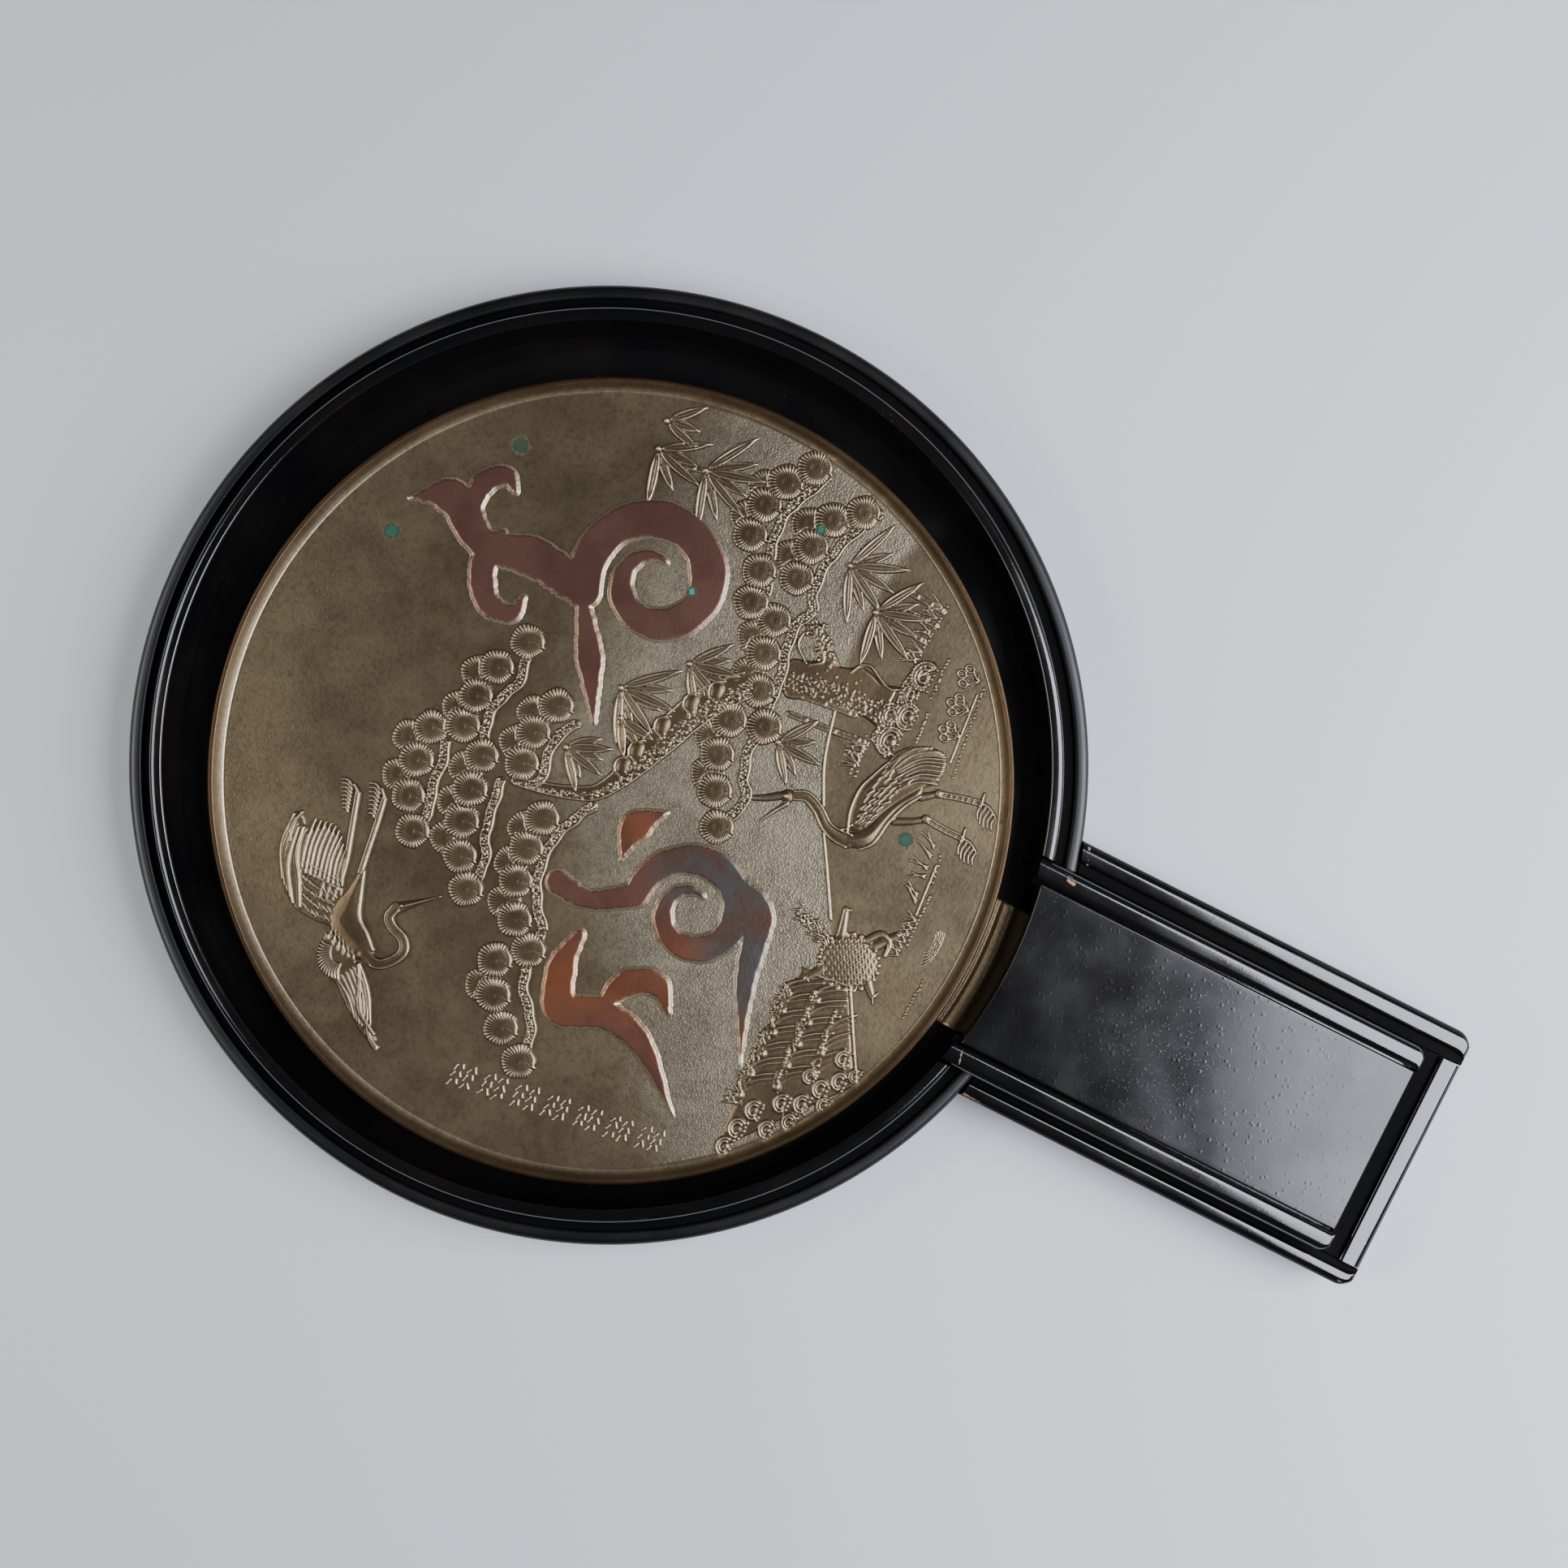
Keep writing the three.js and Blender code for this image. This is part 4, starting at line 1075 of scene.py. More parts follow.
def tuft(field, u, v, radius, height, needles=32):
    """A round tuft: a brown middle, a fan of needles, a bright lip and a hooked stem."""
    area, gu, gv = field.window((u - radius - 1, v - radius - 1), (u + radius + 1, v + radius + 1))
    du = gu - u
    dv = gv - v
    angle = np.arctan2(dv + 0.9, du)
    comb = 0.5 + 0.5 * np.cos(angle * needles + 0.8 * np.sin(3 * angle + u))
    x = np.hypot(du * 0.97, dv) / (radius * (1 + 0.03 * np.sin(5 * angle + v)))
    dome = 0.74 + 0.24 * np.clip((x - 0.1) / 0.6, 0, 1)
    skirt = 0.98 - 0.50 * np.clip((x - 0.70) / 0.30, 0, 1) ** 1.4
    edge = np.clip((1 - x) / 0.05, 0, 1) ** 0.7
    fringe = np.clip((x - 0.26) / 0.30, 0, 1)
    heights = height * np.minimum(dome, skirt) * edge * (1 - 0.50 * fringe * (1 - comb) ** 1.3)
    # Brown in the middle and between the needles; the middle's brown fades towards the tuft's lower side, a
    # painted highlight on the side the light falls on.
    brown_and_painted_light = np.clip(1.25 - 1.25 * x, 0, 1) * np.clip(1.0 + 0.12 * dv, 0, 1) + 0.55 * fringe * (1 - comb)
    field.cover(area, x < 1, heights, np.clip(brown_and_painted_light, 0, 1))
    lip = [(u + 0.2, v - radius * 0.92), (u + 2.6, v - radius * 0.74), (u + 4.4, v - radius * 0.34)]
    field.sweep(lip, 10, [0.4, 1.3, 1.0, 0.4], height * 0.92)
    hook = [
        (u - 0.3, v - 1.0), (u + 0.2, v - 0.8), (u + 0.6, v - 1.6),
        (u + 0.5, v - 3.2), (u + 0.4, v - radius),
    ]
    field.sweep(hook, 10, [0.5, 0.6, 0.7, 0.8], height * 0.9)


def twig(field, places, width, height):
    """A rough twig: a smooth lower edge with rows of beads over it."""
    length = sum(math.dist(a, b) for a, b in zip(places[:-1], places[1:]))
    line = curve(places, max(int(length / 0.9), 4))
    way, side = course(line)
    field.stroke(line, [width * 0.9, width], height * 0.5, tone=0.7)
    wave = 0.25 * np.sin(np.arange(len(line)) * 0.7)[:, None]
    field.stroke(line - side * (width * 0.46 + wave), [0.7, 0.9, 0.8], height)
    field.stroke(line + side * (width * 0.5 - wave), [0.45], height * 0.8)
    for row in (-0.12, 0.18, 0.42):
        for p, q, s in zip(line[:-1], way[:-1], side[:-1]):
            spot = p + q * rng.uniform(0, 0.9) + s * (row * width + rng.normal(0, 0.14))
            radius = rng.uniform(0.34, 0.58)
            field.dab(spot[0], spot[1], radius, height * rng.uniform(0.85, 1.15), power=0.45)


def pines():
    groups = {
        "relief_pine_upper": ((-60, 8, 38, 70), BOUGHS[0:4]),
        "relief_pine_left": ((-96, -22, 0, 26), BOUGHS[4:6]),
        "relief_pine_middle": ((-8, -44, 76, -8), BOUGHS[6:8]),
        "relief_pine_right": ((56, -44, 117, 8), BOUGHS[8:11]),
    }
    for name, (box, boughs) in groups.items():
        field = Field(box)
        for b in boughs:
            for u, v in b["back"]:
                tuft(field, u, v, TUFT_RADIUS * 0.97, 0.78)
        for b in boughs:
            twig(field, b["twig"], 2.6, 1.0)
        for b in boughs:
            for u, v in b["front"]:
                tuft(field, u, v, TUFT_RADIUS * rng.uniform(0.97, 1.03), 1.05)
        relief_piece(name, field)


# The trunk: its foot, a fork, and the long limb to the upper left
TRUNK_OUTLINE = [
    (49.5, -64), (50.6, -58), (49.6, -50), (48, -42), (45.5, -35), (51, -31.5), (56.4, -31.6), (58, -36),
    (60.4, -40.5), (60.8, -45), (62, -48.5), (63.6, -51), (63.2, -55), (62, -59), (63.4, -64),
]
FORK = [(59.5, -43.5), (63, -39.5), (66.5, -35.5), (69, -31)]
LIMB = [
    (44, -23.5), (37, -17.5), (29, -12.5), (19, -8.4), (9, -4.6),
    (1, -1.4), (-5.5, 3), (-8.8, 10), (-11, 17), (-13, 26),
]
LIMB_WIDTHS = [8, 9.5, 10, 9.5, 8, 5.6, 4.4, 3.8, 3.2, 2.2]
KNOBS = [(5.5, -1.0), (11.5, -2.6), (21.5, -6.2), (31.5, -10.8), (38, -16)]
ROOTS = [(47.6, -68.4, 3.3), (56.5, -70.0, 3.0), (69.5, -69.0, 3.4), (62.5, -68.0, 2.4), (54.5, -65.2, 2.8)]


def limb(field):
    line = curve(LIMB, 120)
    share = np.linspace(0, 1, len(line))
    widths = np.interp(share, np.linspace(0, 1, len(LIMB_WIDTHS)), LIMB_WIDTHS)
    way, left = course(line)
    side = -left
    field.stroke(line, LIMB_WIDTHS, 0.72, power=0.35, tone=0.85)
    for p, s, w, t in zip(line, side, widths, way):
        for _ in range(int(1 + w * 0.45)):
            across = rng.uniform(-0.44, 0.10)
            spot = p + s * across * w + t * rng.uniform(-0.6, 0.6)
            field.dab(spot[0], spot[1], rng.uniform(0.30, 0.52), rng.uniform(0.98, 1.18), power=0.45)
    for k in (-0.46, 0.47):
        field.stroke(line + side * (k * widths[:, None]), [0.7, 0.6], 1.0)
    field.sweep([(3, -5.2), (12, -8.8), (22, -12.6), (30, -16.6)], 30, [0.5, 0.8, 0.5], 0.7)
    for u, v in KNOBS:
        field.dab(u, v, 3.3, 1.3, squash=0.72, power=0.5, tone=1.0)
        arch = [(u - 3.5, v - 1.2), (u - 2.0, v + 1.9), (u + 1.2, v + 2.3), (u + 3.6, v - 0.8)]
        field.sweep(arch, 14, [0.5, 0.8, 0.5], 1.3)


def trunk():
    """The leaning trunk: beaded bark on its left, smooth and dark on its right."""
    field = Field((-18, -80, 78, 30), 0.22)
    limb(field)
    field.patch(curve(TRUNK_OUTLINE, 80), 0.8, bevel=1.0, tone=0.9, lip=0.15)
    field.sweep(FORK, 16, [5.4, 5.0, 4.0], 0.75, tone=0.6)
    for _ in range(300):
        v = rng.uniform(-64, -33)
        t = (v + 64) / 31
        left = 50.6 - 4.2 * t**2
        spot = (left + rng.uniform(0.3, 6.4) + (rng.uniform(0, 4) if rng.uniform() < 0.12 else 0), v)
        field.dab(spot[0], spot[1], rng.uniform(0.30, 0.50), rng.uniform(1.0, 1.2), power=0.45)
    for _ in range(120):
        p = curve(FORK, 30)[rng.integers(0, 30)] + rng.normal(0, 1.1, 2)
        field.dab(p[0], p[1], rng.uniform(0.35, 0.6), rng.uniform(0.95, 1.15), power=0.45)
    for line in ([(60.5, -49), (63.6, -50.5), (65, -53.5), (62.8, -58), (61.5, -62), (63.5, -65.5)],
                 [(57.2, -36), (61, -31.5), (65.2, -31.6), (66.2, -34.5)],
                 [(56.8, -36.8), (60.2, -40.2), (64.4, -36.8)]):
        field.sweep(line, 20, [0.5, 0.9, 0.6], 1.12)
    for u, v, radius in ROOTS:
        curl(field, u, v, radius, 1.1, 1 if u < 60 else -1)
        for a in np.linspace(-0.5, 3.6, int(6 * radius)):
            r = radius + 0.9
            spot = (u + r * math.cos(a), v + r * 0.85 * math.sin(a))
            field.dab(spot[0], spot[1], rng.uniform(0.4, 0.62), 1.1, power=0.45)
    twig(field, [(43.5, -69.8), (47, -64.6), (52, -65.6), (59, -66.4), (67, -65.8), (73.5, -70)], 2.4, 0.95)
    relief_piece("relief_pine_trunk", field)


# Bamboo: each spray fans its leaves from one joint
SPRAYS = [
    {"node": (2.8, 16.8), "first": 220, "last": 312, "leaves": 6, "length": 13},
    {"node": (26, 10), "first": 202, "last": 314, "leaves": 7, "length": 17.5},
    {"node": (18, 6), "first": 206, "last": 262, "leaves": 3, "length": 12},
    {"node": (41.5, -5), "first": 210, "last": 320, "leaves": 7, "length": 15},
    {"node": (94.5, 32), "first": 198, "last": 300, "leaves": 5, "length": 16},
    {"node": (103, 33.5), "first": 250, "last": 312, "leaves": 3, "length": 12},
    {"node": (95, 16.5), "first": 198, "last": 326, "leaves": 7, "length": 18},
    {"node": (89, -34.5), "first": 198, "last": 336, "leaves": 7, "length": 17.5},
    {"node": (80, -47.5), "first": 192, "last": 332, "leaves": 7, "length": 17},
    {"node": (32.5, -39), "first": 208, "last": 326, "leaves": 5, "length": 13.5},
]
STALKS = [
    [(41.5, -38), (42.6, -50), (44, -62)],
    [(47.5, -36), (48.6, -44), (50, -56)],
    [(79.5, -48), (79.2, -56), (78.8, -64.5)],
    [(84.5, -56), (84.6, -61), (84.6, -66)],
    [(90, -54), (89.6, -60), (89.4, -66)],
    [(95, 16), (93.5, 24), (94, 31)],
]


def bamboo():
    groups = {
        "relief_bamboo_left": ((-14, -66, 62, 24), SPRAYS[0:4] + SPRAYS[9:10], STALKS[0:2]),
        "relief_bamboo_right": ((58, -70, 117, 40), SPRAYS[4:9], STALKS[2:6]),
    }
    for name, (box, sprays, stalks) in groups.items():
        field = Field(box)
        for line in stalks:
            path = curve(line, 14)
            field.stroke(path, [1.7], 0.55, flat=0.3, tone=0.3)
            for edge in (-0.7, 0.7):
                field.stroke(path + (edge, 0), [0.45], 0.75)
            for k in (3, 8, 12):
                field.dab(path[k][0], path[k][1], 1.2, 0.85, squash=0.55)
        for s in sprays:
            u, v = s["node"]
            order = sorted(range(s["leaves"]), key=lambda i: (i % 2 == 0, i))
            for i in order:
                degrees = s["first"] + (s["last"] - s["first"]) * i / (s["leaves"] - 1) + rng.normal(0, 2.0)
                reach = s["length"] * (0.80 if i % 2 else 1.0) * rng.uniform(0.92, 1.06)
                a = math.radians(degrees)
                start = (u + 0.9 * math.cos(a), v + 0.9 * math.sin(a))
                height = 0.88 if i % 2 else 1.08
                field.leaf(start[0], start[1], degrees, reach, 4.1, height, bend=rng.normal(0, 0.6))
            field.dab(u, v, 1.0, 1.15)
        relief_piece(name, field)


# Cranes

def feathers(field, roots, tips, count, width, height, bend=0.0, tone=0.3):
    """Narrow raised feathers between two guide lines."""
    for a, b in zip(curve(roots, count), curve(tips, count)):
        step = b - a
        middle = (a + b) / 2 + np.array([-step[1], step[0]]) * bend + rng.normal(0, 0.1, 2)
        widths = [width * 0.6, width, width * 0.9, width * 0.4]
        field.sweep([a, middle, b], 9, widths, height * rng.uniform(0.88, 1.08), tone=tone)


def scales(field, roots, tips, rows, count, length, degrees, height):
    """Rows of short overlapping feathers."""
    for k in range(rows):
        t = k / max(rows - 1, 1)
        line = curve([np.array(a) * (1 - t) + np.array(b) * t for a, b in zip(roots, tips)], count)
        for p in line:
            a = math.radians(degrees + rng.normal(0, 6))
            tip = p + length * np.array([math.cos(a), math.sin(a)])
            middle = (p + tip) / 2 + (0, 0.25)
            field.stroke([p, middle, tip], [0.5, 0.95, 0.4], height * rng.uniform(0.8, 1.1))


def toes(field, a, b, count, length):
    """Small curved claws along a foot."""
    for i, p in enumerate(curve([a, b], count)):
        reach = length * (0.55 + 0.45 * i / (count - 1))
        field.sweep([p, p + (0.9, reach * 0.5), p + (0.3, reach)], 7, [1.1, 0.9, 0.5], 0.95)


def flying_crane():
    field = Field((-107, 20, -28, 84))
    wing = [
        (-76, 53), (-77, 60), (-76.5, 67), (-72.5, 73), (-66, 77), (-58, 80), (-50, 80.2),
        (-50, 77.6), (-54, 74), (-50, 70), (-51, 65), (-56, 60.5), (-65, 57), (-71, 54),
    ]
    field.patch(wing, 0.42, bevel=0.7, tone=0.55)
    coverts = [(-75, 56), (-75.5, 61), (-74, 65.5)]
    scales(field, coverts, [(-63, 58.5), (-63, 64), (-63, 69)], 6, 8, 2.4, 62, 0.85)
    flight = [(-64, 57.5), (-65, 64), (-65.5, 70.5)]
    feathers(field, flight, [(-56, 60), (-49, 66.5), (-49.5, 73.5)], 10, 1.25, 1.0, 0.04)
    feathers(field, [(-69, 58), (-70, 62)], [(-61, 58.6), (-62, 62.5)], 3, 1.0, 0.9, 0.05)
    feathers(field, [(-75, 68.5), (-70, 74.5)], [(-54, 77), (-51, 80)], 5, 1.3, 0.95, 0.10, 0.2)
    field.sweep([(-75, 66), (-67.5, 70), (-61, 74), (-53.5, 75.6)], 26, [1.2, 1.5, 2.0, 1.4], 1.2)
    field.sweep([(-59, 77.5), (-54, 78.8), (-49.6, 78.0)], 14, [0.8, 1.6, 1.2], 1.1)
    low_wing = [
        (-78, 56), (-85, 55.5), (-89.5, 51), (-91, 46), (-96, 40), (-100, 34),
        (-103, 27.5), (-100, 28), (-96.5, 33.5), (-90, 38.5), (-84, 41), (-81, 46),
    ]
    field.patch(low_wing, 0.42, bevel=0.7, tone=0.6)
    for k, a in enumerate(np.radians(np.linspace(205, 85, 15))):
        root = np.array([-81.5 + 3.6 * math.cos(a), 49 + 3.2 * math.sin(a)])
        tip = np.array([-81.8 + 8.0 * math.cos(a), 49 + 6.8 * math.sin(a)])
        field.sweep([root, (root + tip) / 2 + (-0.4, 0.4), tip], 7, [0.5, 0.9, 0.6], 0.95)
    coverts = [(-80, 54), (-82, 49), (-82, 44.5)]
    scales(field, coverts, [(-77, 54), (-79, 50), (-79.5, 46)], 3, 6, 1.8, 20, 0.8)
    flight = [(-89, 46.5), (-85, 44), (-82, 42.5)]
    feathers(field, flight, [(-97.5, 36.5), (-98.5, 33.5), (-97, 31.5)], 7, 1.1, 0.95, 0.06)
    leading = curve([(-82.5, 42.6), (-88, 39.6), (-94.5, 36.4), (-99, 29.4)], 26)
    field.stroke(leading, [1.4, 1.7, 2.2, 1.2], 1.15)
    field.sweep([(-97, 33), (-100.5, 30), (-102.4, 27.2)], 14, [1.2, 1.9, 2.4], 1.0)
    body = [
        (-81.5, 46), (-79.5, 50), (-77.5, 54), (-74, 57), (-69, 57), (-64, 55.8), (-58, 55.2),
        (-55, 55.4), (-57, 53.2), (-64, 51.4), (-69.5, 48.6), (-73.5, 44), (-77, 40.4), (-81, 40.6),
    ]
    field.patch(closed_curve(body, 70), 1.05, bevel=3.6, power=0.42, tone=0.9)
    back = curve([(-76.8, 40.8), (-73.4, 44.4), (-69.8, 48.8), (-64, 51.2), (-57, 53.6)], 30)
    field.stroke(back, [1.2, 1.7, 1.6, 1.0], 1.2)
    bends = [
        (-79, 43), (-80, 38), (-77, 34.2), (-73, 32.6),
        (-69.8, 34.6), (-68.2, 38.6), (-66, 41), (-62.6, 40.4),
    ]
    neck = curve(bends, 60)
    field.stroke(neck, [4.2, 3.2, 3.0, 2.8, 2.9, 3.6], 1.05, power=0.4, tone=0.75)
    _, side = course(neck)
    for k, width in ((1.2, 0.55), (-1.2, 0.75)):
        field.stroke(neck[6:] + side[6:] * k, [width], 1.15)
    head = [(-63.8, 42), (-60.4, 40), (-53.4, 29.8), (-61.2, 36.6), (-64, 38.6)]
    field.patch(head, 0.8, bevel=1.1, tone=0.5)
    field.stroke([(-62, 39.6), (-53.6, 30)], [0.6, 0.3], 1.0)
    field.dab(-61.2, 39.2, 0.5, 1.5)
    for line, last in (([(-62, 58.6), (-56, 59.8), (-48, 62.2), (-37, 65.6)], (-35.2, 68)),
                       ([(-58, 54.2), (-50, 55.4), (-43, 56.4), (-35, 57.8)], (-32.6, 60))):
        leg = curve(line, 24)
        field.stroke(leg + (0, 0.7), [1.5, 1.2], 0.8, tone=0.7)
        field.stroke(leg - (0, 0.2), [1.3, 1.1], 1.1)
        field.stroke([line[-1], last], [1.4, 0.8], 1.0)
        toes(field, np.array(line[-1]) + (-6.4, 0.4), np.array(last) + (-0.6, 0.3), 8, 3.8)
    relief_piece("relief_flying_crane", field)


def standing_crane():
    field = Field((4, -110, 58, -34))
    wing = [
        (18.5, -69.5), (24, -67.8), (31, -67.4), (37, -69.4), (44, -71.5), (49, -76), (51.8, -82),
        (50, -86.6), (44, -87.2), (39.5, -84), (34, -80.4), (27, -76.4), (20, -73),
    ]
    field.patch(closed_curve(wing, 70), 0.62, bevel=1.0, tone=0.95)
    coverts = [(21, -70.4), (29, -69.8), (38, -71.2)]
    scales(field, coverts, [(21.5, -73.2), (31, -75.6), (38.5, -79)], 5, 8, 2.3, -24, 1.0)
    plumes = [(37, -71.5), (41, -74), (36, -77.5)]
    feathers(field, plumes, [(50.8, -78.5), (51, -85.6), (42.5, -87)], 15, 1.15, 1.0, 0.13)
    feathers(field, [(40, -71), (44, -73)], [(49, -75), (51.8, -81)], 5, 1.0, 1.05, 0.10)
    belly = [
        (13.6, -70), (15, -74.6), (18.6, -78), (26, -79.2), (32, -81.2), (36.4, -84.2),
        (39.8, -83.4), (36, -80.4), (30, -77), (23, -74.6), (18.5, -71), (17.4, -69.4),
    ]
    field.patch(closed_curve(belly, 70), 1.25, bevel=2.6, power=0.5, tone=0.35)
    under = curve([(14.8, -75), (18.6, -77.8), (26, -79), (32, -81), (37, -84)], 30)
    field.stroke(under, [0.8, 1.6, 1.7, 1.2], 1.05)
    back = curve([(18, -69.4), (24, -67.4), (31, -67), (36, -68.6), (42, -71)], 26)
    field.stroke(back, [1.0, 1.2, 0.6], 1.15)
    neck = curve([(20.6, -50.5), (21.8, -54), (20, -58.6), (16.8, -62.8), (15.6, -66.6), (15.6, -71)], 44)
    field.stroke(neck, [2.8, 2.8, 3.0, 3.4, 4.2], 0.85, power=0.35, tone=0.9)
    _, side = course(neck)
    spread = np.interp(np.linspace(0, 1, len(neck)), [0, 0.6, 1], [1.25, 1.5, 2.1])[:, None]
    for k, width in ((1, 0.8), (-1, 0.7)):
        field.stroke(neck + side * spread * k, [width], 1.12)
    field.sweep([(17.3, -66), (18.4, -68.4), (20.4, -69.6)], 8, [0.6], 1.05)
    field.dab(19.4, -48.8, 2.1, 1.0, tone=0.6)
    field.dab(19.2, -48.2, 0.95, 1.55, power=0.45)
    field.dab(22.7, -48.8, 0.4, 1.2)
    for line, widths in (([(17.4, -49.6), (13, -46.8), (8.6, -44.4)], [1.6, 1.1, 0.4]),
                         ([(18.8, -47.2), (16, -43), (14, -39)], [2.6, 2.2, 1.4])):
        field.sweep(line, 12, widths, 0.75, tone=0.4)
    legs = [
        ([(27, -80.6), (29, -84.6), (31.6, -88.4)], [(31.8, -89), (31.4, -95), (31.6, -101)]),
        ([(37, -84.4), (38.6, -86.6), (40.2, -88.4)], [(40.2, -89), (42, -95), (43.4, -101.6)]),
    ]
    for thigh, shin in legs:
        field.sweep(thigh, 10, [2.6, 1.8], 0.8, tone=0.7)
        field.dab(shin[0][0], shin[0][1] + 0.4, 1.3, 1.15, power=0.45)
        path = curve(shin, 16)
        field.stroke(path, [1.6], 0.55, tone=0.6)
        for k in (-0.75, 0.75):
            field.stroke(path + (k, 0), [0.55], 0.9)
        for p in path[2:-1:2]:
            field.stroke([p + (-0.6, 0.1), p + (0.6, 0.1)], [0.3], 0.8)
    for u, v in ((31.5, -101), (43.4, -101.4)):
        field.stroke([(u - 1, v), (u + 3, v + 0.6)], [1.3, 0.8], 0.95)
        for k in range(5):
            root = np.array([u - 0.4 - 0.4 * k, v - 0.2 - 1.3 * k])
            reach = 5.4 - 0.6 * abs(k - 1.5)
            claw = curve([root, root + (-reach * 0.5, 0.3), root + (-reach, -0.7)], 7)
            field.stroke(claw, [0.8, 0.7, 0.4], 0.85)
        field.sweep([(u, v), (u - 0.2, v - 2.5), (u - 1.6, v - 5)], 8, [1.4, 1.0], 0.6)
    relief_piece("relief_standing_crane", field)


# Shore, tortoise and plants

def grass(field, u, v, blades, height, spread=32):
    for i in range(blades):
        degrees = 90 + spread * (2 * i / max(blades - 1, 1) - 1) + rng.normal(0, 3)
        a = math.radians(degrees)
        reach = height * rng.uniform(0.75, 1.1)
        root = (u + rng.normal(0, 0.4), v)
        field.stroke([root, (root[0] + reach * math.cos(a), v + reach * math.sin(a))], [0.8, 0.3], 0.8)


def bead_row(field, a, b, count, radius=0.55, height=0.75):
    for p in np.linspace(a, b, count):
        u = p[0] + rng.normal(0, 0.15)
        v = p[1] + rng.normal(0, 0.15)
        field.dab(u, v, radius * rng.uniform(0.8, 1.15), height)


def curl(field, u, v, radius, height=1.0, flip=1):
    """A small curled rock or surf knot, with a beaded foot."""
    for share in (1.0, 0.62):
        r = radius * share
        arc = oval(u, v, flip * r, r * 0.8, -0.7, 3.5, 16)
        field.stroke(arc, [1.1, 0.8], height * (1.1 - 0.15 * share))
    field.dab(u, v - radius * 0.2, radius * 0.5, height * 0.6)
    bead_row(field, (u - radius, v - radius * 0.75), (u + radius, v - radius * 0.75), 5)


def combed_bank(field, left, right, rise, height):
    """A bank of leaning curved strokes, like combed surf."""
    count = int(abs(right[0] - left[0]) / 1.7)
    for k in range(count + 1):
        t = k / count
        u = left[0] + (right[0] - left[0]) * t
        v = left[1] + (right[1] - left[1]) * t
        crest = 1.6 * abs(math.sin(k * 0.72))
        path = curve([(u - 4.8, v + rise * 0.30 + crest), (u - 2.0, v + rise * 0.62 + crest),
                      (u + 2.2, v + rise * 0.15), (u + 5.4, v - rise * 0.72)], 12)
        field.stroke(path, [0.6, 1.5, 1.2, 0.6], height * (0.58 + 0.24 * ((k % 3) / 2)), tone=0.8)
        if k % 4 == 1:
            field.dab(path[1][0], path[1][1], 1.3, height * 1.1, power=0.45, tone=0.2)


def shore():
    field = Field((-90, -114, 2, -62), 0.22)
    area, gu, gv = field.window((-86, -108), (-22, -74))
    under = gv - (-75.5 + 0.02 * (gu + 50))
    lower = gv - (-91 + (gu + 23) * 0.56)
    left = gu - (-83 + (-78 - gv) * 1.25)
    right = -22.8 - gu - np.abs(gv + 84) * 0.12
    bank = np.minimum(np.minimum(-under, lower), np.minimum(left, right))
    field.raise_to(area, 0.42 * np.clip(bank / 1.2, 0, 1), 0.75)
    combed_bank(field, (-64, -79.5), (-29, -79.0), 6.0, 1.0)
    combed_bank(field, (-57, -88.5), (-27, -87.0), 6.5, 1.0)
    combed_bank(field, (-49, -95.5), (-35, -93.5), 4.0, 0.9)
    knots = [
        (-82, -78.5, 2.6), (-75.5, -79.5, 2.8), (-68.5, -81.5, 2.7), (-72, -87.5, 2.5), (-63, -88, 2.6),
        (-67, -92.5, 2.3), (-60.5, -93.5, 2.6), (-54, -96.5, 2.6), (-58, -99.5, 2.2), (-49.5, -100.5, 2.5),
        (-43, -98.5, 2.4), (-52, -92, 2.2), (-46, -104, 1.9),
    ]
    for i, (u, v, r) in enumerate(knots):
        curl(field, u, v, r, 1.1, 1 if i % 2 else -1)
    foam = [(-56, -84), (-50, -83.5), (-43, -83.8), (-36, -83), (-30, -82.5), (-33, -90.5), (-41, -91.5)]
    for u, v in foam:
        bead_row(field, (u - 1.6, v), (u + 1.6, v + 0.3), 4, 0.6, 1.1)
    field.stroke([(-24.5, -79), (-23.5, -85), (-22.6, -90.8)], [1.0], 1.0)
    field.stroke([(-22.6, -90.8), (-35, -98), (-48, -105.8)], [1.1], 0.95)
    for u in (-69, -66, -61, -58, -52, -47, -38.5, -35, -33):
        grass(field, u, -76, 3, 4.6 if u > -40 or u < -60 else 3.2, 26)
    relief_piece("relief_shore", field)


